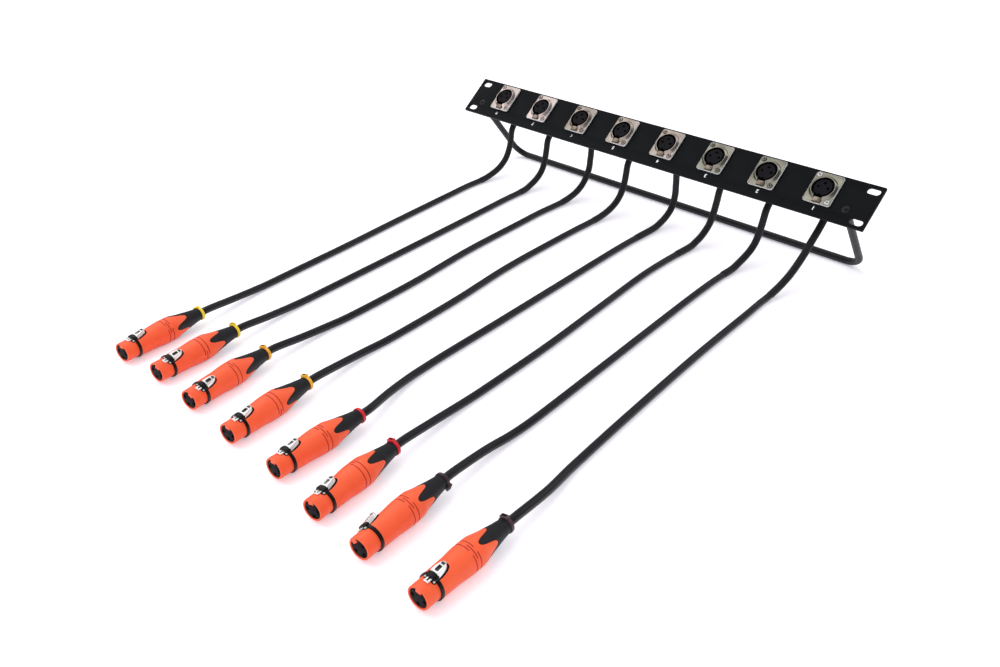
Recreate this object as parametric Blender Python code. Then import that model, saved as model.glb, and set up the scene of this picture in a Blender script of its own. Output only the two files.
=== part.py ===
"""Rack panel with eight three-pole sockets, a lacing bar screwed behind it, and a tail cable from each
socket to a line plug. It leans back on the bar, and the plugs lie on the floor in front of it.
All sizes are in metres. X runs along the panel, -Y is the plug side and +Z is up."""

import math

import bmesh
import bpy
from mathutils import Matrix, Vector

# Rack panel
PANEL_LENGTH = 0.4826
PANEL_HEIGHT = 0.0440
PANEL_THICKNESS = 0.0030
PANEL_TILT = math.radians(40.3)
RACK_SLOT_INSET_X = 0.00875
RACK_SLOT_SPACING_Y = 0.03175
RACK_SLOT_LENGTH = 0.0120
RACK_SLOT_HEIGHT = 0.0065
RACK_SLOT_END_STEPS = 4

# Gaps between pieces, and how far a cutting shape runs past the face it cuts
REST_GAP = 0.0003
FREE_GAP = 0.0006
CUT_PAST = 0.0010

# Sockets
SOCKET_COUNT = 8
SOCKET_INSET_LEFT = 0.0468
SOCKET_INSET_RIGHT = 0.04863
SOCKET_HEIGHT = 0.0263
FLANGE_WIDTH = 0.0260
FLANGE_HEIGHT = 0.0310
FLANGE_CORNER_R = 0.0025
FLANGE_THICKNESS = 0.0020
COLLAR_BASE_R = 0.0125
COLLAR_TOP_R = 0.01025
COLLAR_RISE = 0.0025
SOCKET_BORE_R = 0.0095
HOUSING_R = 0.0116
HOUSING_DEPTH = 0.0190
SOCKET_SIDES = 16
SOCKET_SCREW_X = 0.0095
SOCKET_SCREW_Y = 0.0120
SOCKET_SCREW_R = 0.0013
SOCKET_SCREW_HEAD_R = 0.0026
SOCKET_SCREW_HEAD_RISE = 0.0014
SOCKET_SCREW_DOME_R = 0.0019
SOCKET_SCREW_EDGE_RISE = 0.0006
SOCKET_SCREW_SINK = 0.0007
SOCKET_SCREW_DEPTH = 0.0060
SCREW_SIDES = 8
SCREW_HOLE_SIDES = 6

# Socket inserts
SOCKET_INSERT_R = 0.0080
SOCKET_INSERT_TOP = 0.0045
SOCKET_BASE_FRONT = 0.0140
SOCKET_BOSS_R = 0.0060
SOCKET_BOSS_LENGTH = 0.0040
CONTACT_CIRCLE_R = 0.0046
CONTACT_HOLE_R = 0.00135
CONTACT_HOLE_DEPTH = 0.0100
CONTACT_SIDES = 6
KEYWAY_WIDTH = 0.0026
KEYWAY_DEPTH = 0.0016
KEYWAY_LENGTH = 0.0115

# Socket push tabs
TAB_WIDTH = 0.0076
TAB_INNER = 0.0097
TAB_OUTER = 0.0144
TAB_UNDERSIDE = 0.0030
TAB_TOP_INNER = 0.0052
TAB_TOP_OUTER = 0.0042
TAB_TRAVEL = 0.0015
STEM_WIDTH = 0.0044
STEM_INNER = 0.0099
STEM_OUTER = 0.0113
STEM_DEPTH = 0.0096

# Lacing bar and its screws
BAR_R = 0.0035
BAR_SIDES = 12
BAR_INSET_LEFT = 0.0176
BAR_INSET_RIGHT = 0.0218
BAR_HEIGHT = 0.0143
BAR_REACH = 0.1006
BAR_SKEW = 0.0020
BAR_BEND_R = 0.0160
BAR_BEND_STEPS = 6
BAR_HOLE_DEPTH = 0.0120
BAR_SCREW_R = 0.0020
BAR_SCREW_HEAD_R = 0.0040
BAR_SCREW_SUNK = 0.00015
BAR_SCREW_LENGTH = 0.0142
BAR_SCREW_SIDES = 12

# Cables
CABLE_R = 0.0030
CABLE_LEAD = 0.0060
CABLE_SHORT_STEP = 0.0110
CABLE_LONG_STEP = 0.0180
CABLE_TURN_PER_STEP = math.radians(11.0)
CABLE_FLOOR_GAP = 0.00005
SMOOTH_STEPS = 24

# Line plugs, measured back along the plug from its front face
NOSE_R = 0.0079
NOSE_LENGTH = 0.0126
SHOULDER_R = 0.00875
WAIST_AT = 0.0275
WAIST_R = 0.00895
BELLY_AT = 0.0375
BELLY_R = 0.00995
BELLY_END = 0.0445
CURVE_AT = 0.0470
TAPER_AT = 0.0498
TAPER_R = 0.0093
TAPER_END_AT = 0.0630
TAPER_END_R = 0.0070
PLUG_BORE_R = 0.0066
PLUG_BORE_DEPTH = 0.0430
PLUG_NECK_R = 0.0058
BOOT_ROUND_AT = 0.0645
BOOT_MIDDLE_AT = 0.0700
BOOT_MIDDLE_R = 0.0058
BOOT_END_AT = 0.0780
BOOT_END_R = 0.0051
INSERT_RECESS = 0.0006
TONGUE_WIDTH = 0.0048
TONGUE_INNER = 0.0046
TONGUE_LENGTH = 0.0110

# The wave between shell and boot. Every lobe has the same corners: a blunt tip, a flank and a valley.
WAVE_MIDDLE = 0.0533
WAVE_SIZE = 0.0067
WAVE_COUNT = 4
WAVE_LEAN = 0.155
WAVE_ROUND = 1.2
WAVE_GAP = 0.0006
WAVE_KNEE_SHARE = 0.35
LOBE_CORNERS = tuple(math.radians(angle) for angle in (-7.0, 7.0, 26.3, 45.0, 63.7))

# Plug latches
POCKET_FRONT = 0.0122
POCKET_REAR = 0.0230
POCKET_FLOOR = 0.0076
LATCH_THICKNESS = 0.0006
LATCH_FRONT = 0.0062
LATCH_WIDTH = 0.0070
LATCH_REST_HEIGHT = 0.0088
LATCH_BEND_AT = 0.0147
LATCH_BEND_WIDTH = 0.0067
LATCH_BEND_HEIGHT = 0.0101
LATCH_BEND_THICKNESS = 0.0017
LATCH_REAR = 0.0215
LATCH_REAR_WIDTH = 0.0040
LATCH_REAR_HEIGHT = 0.0113
LATCH_REAR_THICKNESS = 0.0022
LATCH_PIVOT_AT = 0.0137
LATCH_PIVOT_HEIGHT = 0.0085
WINDOW_FRONT = 0.0140
WINDOW_REAR = 0.0177
WINDOW_WIDTH = 0.0027

# Places that follow the panel's length: the slots, the bar's arms and the row of sockets
RACK_SLOT_X = PANEL_LENGTH / 2 - RACK_SLOT_INSET_X
BAR_ARM_X = (PANEL_LENGTH - BAR_INSET_LEFT - BAR_INSET_RIGHT) / 2
BAR_MIDDLE_X = (BAR_INSET_LEFT - BAR_INSET_RIGHT) / 2
SOCKET_FIRST_X = SOCKET_INSET_LEFT - PANEL_LENGTH / 2
SOCKET_PITCH = (PANEL_LENGTH - SOCKET_INSET_LEFT - SOCKET_INSET_RIGHT) / (SOCKET_COUNT - 1)

# Shading: faces of four corners count as flat within this, and edges sharper than this stay sharp
FLAT_WITHIN = 1e-7
SHARP_ANGLE = math.radians(35.0)

# Where each plug lies: front face x from its own socket's and y, heading of its axis from +X in degrees,
# the latch's angle from straight up in degrees, towards -X, and the angle of one valley of the shell's
# wavy rear edge
PLUG_POSES = [
    (0.0754, -0.5278, 100.0, -4.0, 12.0),
    (0.0657, -0.5228, 99.3, -20.0, -45.5),
    (0.0611, -0.5242, 101.8, -24.0, 6.5),
    (0.0611, -0.5261, 100.2, -6.0, 10.5),
    (0.0602, -0.5252, 95.4, 4.0, -50.0),
    (0.0557, -0.5313, 99.5, 10.0, -29.0),
    (0.0473, -0.5318, 98.1, 45.0, -39.5),
    (0.0450, -0.5328, 94.8, -4.0, -26.0),
]

# Middle lines of the free cables between their leads, from the socket to the plug, with x from the socket
CABLE_ROUTES = [
    [
        (0.0000, -0.0096, 0.0500), (0.0000, -0.0114, 0.0400), (0.0000, -0.0137, 0.0300),
        (0.0001, -0.0187, 0.0200), (0.0003, -0.0247, 0.0140), (0.0007, -0.0337, 0.0090),
        (0.0013, -0.0442, 0.0060), (0.0019, -0.0557, 0.0040), (0.0025, -0.0797, 0.00305),
        (0.0081, -0.1197, 0.00305), (0.0200, -0.1997, 0.00305), (0.0326, -0.2797, 0.00305),
        (0.0437, -0.3597, 0.00305), (0.0476, -0.3847, 0.0036), (0.0531, -0.4117, 0.0060),
    ],
    [
        (0.0000, -0.0096, 0.0500), (0.0000, -0.0113, 0.0400), (0.0001, -0.0135, 0.0300),
        (0.0003, -0.0173, 0.0200), (0.0006, -0.0227, 0.0140), (0.0010, -0.0307, 0.0090),
        (0.0016, -0.0392, 0.0060), (0.0024, -0.0472, 0.0040), (0.0050, -0.0797, 0.00305),
        (0.0101, -0.1197, 0.00305), (0.0201, -0.1997, 0.00305), (0.0298, -0.2797, 0.00305),
        (0.0391, -0.3597, 0.00305), (0.0419, -0.3847, 0.0036), (0.0464, -0.4117, 0.0060),
    ],
    [
        (0.0000, -0.0003, 0.0500), (0.0000, -0.0012, 0.0400), (0.0000, -0.0026, 0.0300),
        (0.0000, -0.0079, 0.0200), (0.0001, -0.0137, 0.0140), (0.0002, -0.0222, 0.0090),
        (0.0004, -0.0322, 0.0060), (0.0006, -0.0447, 0.0040), (0.0013, -0.0797, 0.00305),
        (0.0053, -0.1197, 0.00305), (0.0139, -0.1997, 0.00305), (0.0269, -0.2797, 0.00305),
        (0.0355, -0.3597, 0.00305), (0.0366, -0.3847, 0.0036), (0.0396, -0.4117, 0.0060),
    ],
    [
        (0.0000, -0.0075, 0.0500), (0.0000, -0.0092, 0.0400), (0.0000, -0.0113, 0.0300),
        (0.0000, -0.0161, 0.0200), (0.0000, -0.0217, 0.0140), (0.0001, -0.0307, 0.0090),
        (0.0002, -0.0405, 0.0060), (0.0004, -0.0537, 0.0040), (0.0010, -0.0797, 0.00305),
        (0.0038, -0.1197, 0.00305), (0.0114, -0.1997, 0.00305), (0.0241, -0.2797, 0.00305),
        (0.0333, -0.3597, 0.00305), (0.0349, -0.3847, 0.0036), (0.0391, -0.4117, 0.0060),
    ],
    [
        (0.0000, 0.0015, 0.0500), (0.0000, 0.0023, 0.0400), (0.0000, 0.0027, 0.0300),
        (0.0001, 0.0003, 0.0200), (0.0003, -0.0043, 0.0140), (0.0006, -0.0122, 0.0090),
        (0.0010, -0.0207, 0.0060), (0.0015, -0.0302, 0.0040), (0.0034, -0.0797, 0.00305),
        (0.0068, -0.1197, 0.00305), (0.0147, -0.1997, 0.00305), (0.0224, -0.2797, 0.00305),
        (0.0297, -0.3597, 0.00305), (0.0333, -0.3847, 0.0036), (0.0409, -0.4117, 0.0060),
    ],
    [
        (0.0000, -0.0058, 0.0500), (-0.0004, -0.0074, 0.0400), (-0.0008, -0.0097, 0.0300),
        (-0.0013, -0.0135, 0.0200), (-0.0017, -0.0187, 0.0140), (-0.0019, -0.0262, 0.0090),
        (-0.0021, -0.0337, 0.0060), (-0.0021, -0.0407, 0.0040), (-0.0018, -0.0797, 0.00305),
        (0.0007, -0.1197, 0.00305), (0.0114, -0.1997, 0.00305), (0.0222, -0.2797, 0.00305),
        (0.0301, -0.3597, 0.00305), (0.0322, -0.3847, 0.0036), (0.0358, -0.4117, 0.0060),
    ],
    [
        (0.0000, -0.0114, 0.0500), (-0.0003, -0.0137, 0.0400), (-0.0007, -0.0162, 0.0300),
        (-0.0012, -0.0202, 0.0200), (-0.0015, -0.0262, 0.0140), (-0.0018, -0.0362, 0.0090),
        (-0.0019, -0.0457, 0.0060), (-0.0018, -0.0537, 0.0040), (-0.0014, -0.0797, 0.00305),
        (0.0016, -0.1197, 0.00305), (0.0100, -0.1997, 0.00305), (0.0187, -0.2797, 0.00305),
        (0.0271, -0.3597, 0.00305), (0.0287, -0.3847, 0.0036), (0.0302, -0.4117, 0.0060),
    ],
    [
        (-0.0003, -0.0125, 0.0500), (-0.0009, -0.0220, 0.0400), (-0.0016, -0.0307, 0.0300),
        (-0.0025, -0.0417, 0.0200), (-0.0032, -0.0502, 0.0140), (-0.0038, -0.0612, 0.0090),
        (-0.0043, -0.0707, 0.0060), (-0.0047, -0.0792, 0.0040), (-0.0046, -0.0902, 0.00305),
        (-0.0019, -0.1197, 0.00305), (0.0049, -0.1997, 0.00305), (0.0135, -0.2797, 0.00305),
        (0.0231, -0.3597, 0.00305), (0.0267, -0.3847, 0.0036), (0.0325, -0.4117, 0.0060),
    ],
]

# Colours as red, green and blue on a screen, roughness and metallic
MATERIALS = {
    "panel_black": ((0.118, 0.125, 0.133), 0.42, 0.0),
    "bar_black": ((0.095, 0.098, 0.105), 0.45, 0.0),
    "screw_black": ((0.10, 0.10, 0.11), 0.35, 0.8),
    "socket_nickel": ((0.70, 0.67, 0.62), 0.28, 1.0),
    "insert_black": ((0.105, 0.105, 0.115), 0.5, 0.0),
    "tab_steel": ((0.66, 0.62, 0.57), 0.3, 1.0),
    "cable_black": ((0.11, 0.11, 0.12), 0.5, 0.0),
    "plug_orange": ((0.957, 0.392, 0.235), 0.45, 0.0),
    "boot_black": ((0.145, 0.157, 0.169), 0.55, 0.0),
    "latch_steel": ((0.72, 0.72, 0.72), 0.22, 1.0),
}


def clear_scene():
    for item in list(bpy.data.objects):
        bpy.data.objects.remove(item, do_unlink=True)


def linear(value):
    return value / 12.92 if value <= 0.04045 else ((value + 0.055) / 1.055) ** 2.4


def make_materials():
    made = {}
    for name, (colour, roughness, metallic) in MATERIALS.items():
        material = bpy.data.materials.new(name)
        material.use_nodes = True
        shader = material.node_tree.nodes["Principled BSDF"]
        shader.inputs["Base Color"].default_value = (*map(linear, colour), 1.0)
        shader.inputs["Roughness"].default_value = roughness
        shader.inputs["Metallic"].default_value = metallic
        made[name] = material
    return made


def angle_row(angles, radius, height, centre=(0.0, 0.0)):
    """One ring of points round the local Z axis. Radius and height may be functions of the angle."""
    row = []
    for angle in angles:
        r = radius(angle) if callable(radius) else radius
        z = height(angle) if callable(height) else height
        row.append((centre[0] + r * math.cos(angle), centre[1] + r * math.sin(angle), z))
    return row


def circle_row(sides, radius, height, turn=0.0, centre=(0.0, 0.0)):
    """One ring of evenly spaced points round the local Z axis."""
    return angle_row([turn + math.tau * i / sides for i in range(sides)], radius, height, centre)


def add_quad(built, a, b, c, d):
    """A face of four corners. One that isn't flat is split along its shorter diagonal, so that two pieces
    that face each other across a narrow gap are split alike."""
    normal = (b.co - a.co).cross(d.co - a.co)
    if abs(normal.normalized().dot(c.co - a.co)) < FLAT_WITHIN:
        built.faces.new((a, b, c, d))
    elif (c.co - a.co).length < (d.co - b.co).length:
        built.faces.new((a, b, c))
        built.faces.new((a, c, d))
    else:
        built.faces.new((a, b, d))
        built.faces.new((b, c, d))


def rows_mesh(name, shapes):
    """A mesh of one or more closed shapes. Each is (rows, joined): rings of equally many points skinned
    one to the next, with the last joined back to the first, or both ends capped."""
    built = bmesh.new()
    for rows, joined in shapes:
        rings = [[built.verts.new(point) for point in row] for row in rows]
        pairs = list(zip(rings, rings[1:]))
        if joined:
            pairs.append((rings[-1], rings[0]))
        else:
            built.faces.new(rings[0])
            built.faces.new(rings[-1])
        count = len(rings[0])
        for low, high in pairs:
            for i in range(count):
                j = (i + 1) % count
                add_quad(built, low[i], low[j], high[j], high[i])
    bmesh.ops.recalc_face_normals(built, faces=built.faces)
    mesh = bpy.data.meshes.new(name)
    built.to_mesh(mesh)
    built.free()
    mesh.shade_smooth()
    mesh.set_sharp_from_angle(angle=SHARP_ANGLE)
    return mesh


def box_rows(low, high):
    """The rows of an upright box."""
    return [
        [(low[0], low[1], z), (high[0], low[1], z), (high[0], high[1], z), (low[0], high[1], z)]
        for z in (low[2], high[2])
    ]


def place(name, mesh, material, parent, location=(0.0, 0.0, 0.0)):
    item = bpy.data.objects.new(name, mesh)
    if material is not None:
        mesh.materials.append(material)
    item.parent = parent
    item.location = location
    bpy.context.scene.collection.objects.link(item)
    return item


def helper(name, shapes, parent, location=(0.0, 0.0, 0.0)):
    """A shape that only a Boolean uses."""
    item = place(name, rows_mesh(name, shapes), None, parent, location)
    item.hide_render = True
    item.display_type = "WIRE"
    return item


def boolean(item, operation, other):
    """Cuts the other shape from the item, or joins it on."""
    step = item.modifiers.new(operation.lower() + "_" + other.name, "BOOLEAN")
    step.operation = operation
    step.solver = "EXACT"
    step.object = other


def frame_empty(name, matrix):
    item = bpy.data.objects.new(name, None)
    item.matrix_world = matrix
    bpy.context.scene.collection.objects.link(item)
    return item


def slot_row(x, y, z):
    """The outline of a round-ended rack slot."""
    radius = RACK_SLOT_HEIGHT / 2
    reach = RACK_SLOT_LENGTH / 2 - radius
    row = []
    for side in (1, -1):
        for i in range(RACK_SLOT_END_STEPS + 1):
            angle = -math.pi / 2 + math.pi * i / RACK_SLOT_END_STEPS
            along = side * (reach + radius * math.cos(angle))
            across = side * radius * math.sin(angle)
            row.append((x + along, y + across, z))
    return row


def socket_x(index):
    return SOCKET_FIRST_X + SOCKET_PITCH * index


def half_side(sides):
    """Half of a side's angle, which lays a flat of the polygon across each axis."""
    return math.pi / sides


def make_panel(frame, materials):
    half = PANEL_LENGTH / 2
    rows = box_rows((-half, 0.0, -PANEL_THICKNESS), (half, PANEL_HEIGHT, 0.0))
    mesh = rows_mesh("rack_panel", [(rows, False)])
    panel = place("rack_panel", mesh, materials["panel_black"], frame)
    front = CUT_PAST
    rear = -PANEL_THICKNESS - CUT_PAST
    slots = []
    for sx in (-1, 1):
        for sy in (-1, 1):
            x = sx * RACK_SLOT_X
            y = PANEL_HEIGHT / 2 + sy * RACK_SLOT_SPACING_Y / 2
            slots.append(([slot_row(x, y, z) for z in (rear, front)], False))
    housing_holes = []
    screw_holes = []
    for index in range(SOCKET_COUNT):
        x = socket_x(index)
        middle = (x, SOCKET_HEIGHT)
        turn = half_side(SOCKET_SIDES)
        radius = HOUSING_R + FREE_GAP
        hole = [circle_row(SOCKET_SIDES, radius, z, turn, middle) for z in (rear, front)]
        housing_holes.append((hole, False))
        for side in (-1, 1):
            middle = (x + side * SOCKET_SCREW_X, SOCKET_HEIGHT - side * SOCKET_SCREW_Y)
            radius = SOCKET_SCREW_R + REST_GAP
            hole = [circle_row(SCREW_HOLE_SIDES, radius, z, 0.0, middle) for z in (rear, front)]
            screw_holes.append((hole, False))
    # The same gap, measured across the screw's head, which tapers at 45 degrees.
    cone = REST_GAP * math.sqrt(2.0)
    bar_holes = []
    for side in (-1, 1):
        middle = (BAR_MIDDLE_X + side * BAR_ARM_X, BAR_HEIGHT)
        hole_r = BAR_SCREW_R + REST_GAP
        mouth_r = BAR_SCREW_HEAD_R + BAR_SCREW_SUNK + cone
        profile = [(mouth_r + front, front), (hole_r, hole_r - mouth_r), (hole_r, rear)]
        hole = [circle_row(BAR_SCREW_SIDES, r, z, 0.0, middle) for r, z in profile]
        bar_holes.append((hole, False))
    # One cutter for each kind, since two shapes that meet in one cutter would spoil the cut.
    kinds = (("slots", slots), ("housing", housing_holes), ("screw", screw_holes), ("bar", bar_holes))
    for kind, shapes in kinds:
        boolean(panel, "DIFFERENCE", helper("panel_" + kind + "_holes", shapes, frame))


def make_bar(frame, materials):
    """A round rod bent into a U, with a screw bore in the end of each arm. Its bends aren't quite square,
    so that the long run lies a little to the left of the arms' ends."""
    start = PANEL_THICKNESS + REST_GAP
    # A corner of the rod's cross-section points straight down, so that the bar stands on the floor.
    turn = math.atan2(math.cos(PANEL_TILT), -math.sin(PANEL_TILT))
    path = []
    for side in (-1, 1):
        bend = []
        for i in range(BAR_BEND_STEPS + 1):
            angle = math.pi / 2 * i / BAR_BEND_STEPS
            x = side * (BAR_ARM_X - BAR_BEND_R * (1 - math.cos(angle)))
            z = -(BAR_REACH - BAR_BEND_R * (1 - math.sin(angle)))
            bend.append((x, z, (side * math.cos(angle), -math.sin(angle))))
        end = [(side * BAR_ARM_X, -start, (float(side), 0.0))]
        path += end + bend if side < 0 else bend[::-1] + end
    rows = []
    for x, z, outward in path:
        share = (-z - start) / (BAR_REACH - start)
        middle_x = BAR_MIDDLE_X + x - BAR_SKEW * share
        row = []
        for i in range(BAR_SIDES):
            angle = turn + math.tau * i / BAR_SIDES
            across = BAR_R * math.sin(angle)
            y = BAR_HEIGHT + BAR_R * math.cos(angle)
            row.append((middle_x + across * outward[0], y, z + across * outward[1]))
        rows.append(row)
    hole_r = BAR_SCREW_R + REST_GAP
    for side, at in ((-1, 0), (1, len(rows))):
        bore = []
        for z in (-start, -start - BAR_HOLE_DEPTH):
            row = []
            for i in range(BAR_SIDES):
                angle = turn + math.tau * i / BAR_SIDES
                x = BAR_MIDDLE_X + side * (BAR_ARM_X + hole_r * math.sin(angle))
                row.append((x, BAR_HEIGHT + hole_r * math.cos(angle), z))
            bore.append(row)
        if side < 0:
            rows = bore[::-1] + rows
        else:
            rows = rows + bore
    place("lacing_bar", rows_mesh("lacing_bar", [(rows, False)]), materials["bar_black"], frame)


def make_bar_screws(frame, materials):
    throat = BAR_SCREW_HEAD_R - BAR_SCREW_R + BAR_SCREW_SUNK
    profile = [
        (BAR_SCREW_HEAD_R, -BAR_SCREW_SUNK),
        (BAR_SCREW_R, -throat),
        (BAR_SCREW_R, -BAR_SCREW_LENGTH),
    ]
    for name, side in (("left", -1), ("right", 1)):
        rows = [circle_row(BAR_SCREW_SIDES, r, z) for r, z in profile]
        mesh = rows_mesh("bar_screw_" + name, [(rows, False)])
        spot = (BAR_MIDDLE_X + side * BAR_ARM_X, BAR_HEIGHT, 0.0)
        place("bar_screw_" + name, mesh, materials["screw_black"], frame, spot)


def flange_row(height):
    """The flange's outline, with as many points as a ring of the socket's housing."""
    per_corner = SOCKET_SIDES // 4
    row = []
    for corner, (sx, sy) in enumerate(((1, 1), (-1, 1), (-1, -1), (1, -1))):
        cx = sx * (FLANGE_WIDTH / 2 - FLANGE_CORNER_R)
        cy = sy * (FLANGE_HEIGHT / 2 - FLANGE_CORNER_R)
        for i in range(per_corner):
            angle = math.pi / 2 * (corner + i / (per_corner - 1))
            x = cx + FLANGE_CORNER_R * math.cos(angle)
            row.append((x, cy + FLANGE_CORNER_R * math.sin(angle), height))
    return row


def make_socket(index, frame, materials):
    number = str(index + 1)
    centre = (socket_x(index), SOCKET_HEIGHT, 0.0)
    turn = half_side(SOCKET_SIDES)
    back = REST_GAP
    face = back + FLANGE_THICKNESS
    top = face + COLLAR_RISE
    rows = [
        circle_row(SOCKET_SIDES, SOCKET_BORE_R, top, turn),
        circle_row(SOCKET_SIDES, COLLAR_TOP_R, top, turn),
        circle_row(SOCKET_SIDES, COLLAR_BASE_R, face, turn),
        flange_row(face),
        flange_row(back),
        circle_row(SOCKET_SIDES, HOUSING_R, back, turn),
        circle_row(SOCKET_SIDES, HOUSING_R, -HOUSING_DEPTH, turn),
        circle_row(SOCKET_SIDES, SOCKET_BORE_R, -HOUSING_DEPTH, turn),
    ]
    mesh = rows_mesh("jack_shell_" + number, [(rows, True)])
    shell = place("jack_shell_" + number, mesh, materials["socket_nickel"], frame, centre)

    screws = []
    for side in (-1, 1):
        middle = (side * SOCKET_SCREW_X, -side * SOCKET_SCREW_Y)
        profile = [
            (SOCKET_SCREW_DOME_R, face + SOCKET_SCREW_HEAD_RISE),
            (SOCKET_SCREW_HEAD_R, face + SOCKET_SCREW_EDGE_RISE),
            (SOCKET_SCREW_HEAD_R, face - SOCKET_SCREW_SINK),
            (SOCKET_SCREW_R, face - SOCKET_SCREW_SINK),
            (SOCKET_SCREW_R, -SOCKET_SCREW_DEPTH),
        ]
        rows = [circle_row(SCREW_SIDES, r, z, 0.0, middle) for r, z in profile]
        screws.append((rows, False))
    boolean(shell, "UNION", helper("screws_" + number, screws, frame, centre))

    recess_floor = TAB_UNDERSIDE - TAB_TRAVEL - REST_GAP
    bore_side = CUT_PAST - SOCKET_BORE_R
    recess = box_rows(
        (-TAB_WIDTH / 2 - REST_GAP, -TAB_OUTER - REST_GAP, recess_floor),
        (TAB_WIDTH / 2 + REST_GAP, bore_side, top + CUT_PAST),
    )
    groove = box_rows(
        (-STEM_WIDTH / 2 - REST_GAP, -STEM_OUTER - REST_GAP, -STEM_DEPTH - TAB_TRAVEL - REST_GAP),
        (STEM_WIDTH / 2 + REST_GAP, bore_side + REST_GAP, recess_floor + CUT_PAST),
    )
    for kind, rows in (("tab_recess_", recess), ("stem_groove_", groove)):
        boolean(shell, "DIFFERENCE", helper(kind + number, [(rows, False)], frame, centre))

    base_r = SOCKET_BORE_R - REST_GAP
    profile = [
        (SOCKET_INSERT_R, SOCKET_INSERT_TOP),
        (SOCKET_INSERT_R, -SOCKET_BASE_FRONT),
        (base_r, -SOCKET_BASE_FRONT),
        (base_r, -HOUSING_DEPTH),
        (SOCKET_BOSS_R, -HOUSING_DEPTH),
        (SOCKET_BOSS_R, -HOUSING_DEPTH - SOCKET_BOSS_LENGTH),
    ]
    rows = [circle_row(SOCKET_SIDES, r, z, turn) for r, z in profile]
    mesh = rows_mesh("jack_insert_" + number, [(rows, False)])
    insert = place("jack_insert_" + number, mesh, materials["insert_black"], frame, centre)
    floor = SOCKET_INSERT_TOP - CONTACT_HOLE_DEPTH
    cuts = contact_holes(floor, SOCKET_INSERT_TOP + CUT_PAST, 1.0)
    key = box_rows(
        (-KEYWAY_WIDTH / 2, -SOCKET_INSERT_R - CUT_PAST, SOCKET_INSERT_TOP - KEYWAY_LENGTH),
        (KEYWAY_WIDTH / 2, -SOCKET_INSERT_R + KEYWAY_DEPTH, SOCKET_INSERT_TOP + CUT_PAST),
    )
    cuts.append((key, False))
    boolean(insert, "DIFFERENCE", helper("socket_holes_" + number, cuts, frame, centre))

    # The push tab's origin is in the middle of its head, on the line it slides along.
    middle = Vector((0.0, -(TAB_INNER + TAB_OUTER) / 2, TAB_UNDERSIDE))
    stations = [
        (STEM_WIDTH, STEM_OUTER, STEM_INNER, -STEM_DEPTH, -STEM_DEPTH),
        (STEM_WIDTH, STEM_OUTER, STEM_INNER, TAB_UNDERSIDE, TAB_UNDERSIDE),
        (TAB_WIDTH, TAB_OUTER, TAB_INNER, TAB_UNDERSIDE, TAB_UNDERSIDE),
        (TAB_WIDTH, TAB_OUTER, TAB_INNER, TAB_TOP_OUTER, TAB_TOP_INNER),
    ]
    rows = []
    for width, outer, inner, outer_z, inner_z in stations:
        row = [
            (-width / 2, -outer, outer_z),
            (width / 2, -outer, outer_z),
            (width / 2, -inner, inner_z),
            (-width / 2, -inner, inner_z),
        ]
        rows.append([tuple(Vector(point) - middle) for point in row])
    mesh = rows_mesh("jack_latch_" + number, [(rows, False)])
    place("jack_latch_" + number, mesh, materials["tab_steel"], frame, Vector(centre) + middle)


def contact_holes(low, high, far_side):
    """Three contact holes: one on each side, and one opposite the key."""
    spots = [
        (-CONTACT_CIRCLE_R, 0.0),
        (0.0, far_side * CONTACT_CIRCLE_R),
        (CONTACT_CIRCLE_R, 0.0),
    ]
    holes = []
    for spot in spots:
        rows = [circle_row(CONTACT_SIDES, CONTACT_HOLE_R, z, 0.0, spot) for z in (low, high)]
        holes.append((rows, False))
    return holes


def plug_matrix(index):
    """The plug's own frame: Z runs back from its front face, and Y points at the latch."""
    x, y, heading, latch_angle, _ = PLUG_POSES[index]
    along = Vector((math.cos(math.radians(heading)), math.sin(math.radians(heading)), 0.0))
    up = Vector((0.0, 0.0, 1.0))
    side = up.cross(along)
    roll = math.radians(latch_angle)
    latch = up * math.cos(roll) + side * math.sin(roll)
    across = latch.cross(along)
    matrix = Matrix((across, latch, along)).transposed().to_4x4()
    matrix.translation = Vector((socket_x(index) + x, y, BELLY_R))
    return matrix


def rear_radius(along):
    """The outside of the shell's and the boot's taper, which run on flush."""
    spots = [
        (CURVE_AT, BELLY_R),
        (TAPER_AT, TAPER_R),
        (TAPER_END_AT, TAPER_END_R),
        (BOOT_MIDDLE_AT, BOOT_MIDDLE_R),
        (BOOT_END_AT, BOOT_END_R),
    ]
    for (a0, r0), (a1, r1) in zip(spots, spots[1:]):
        if along <= a1:
            return r0 + (r1 - r0) * max(0.0, along - a0) / (a1 - a0)
    return BOOT_END_R


def wave_edge(turn):
    """How far back the shell's rear edge is, at an angle counted from the tip of one of its lobes."""
    turn = WAVE_COUNT * turn
    level = math.cos(turn - WAVE_LEAN * math.sin(turn))
    return WAVE_MIDDLE + WAVE_SIZE * math.sin(WAVE_ROUND * level) / math.sin(WAVE_ROUND)


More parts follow.
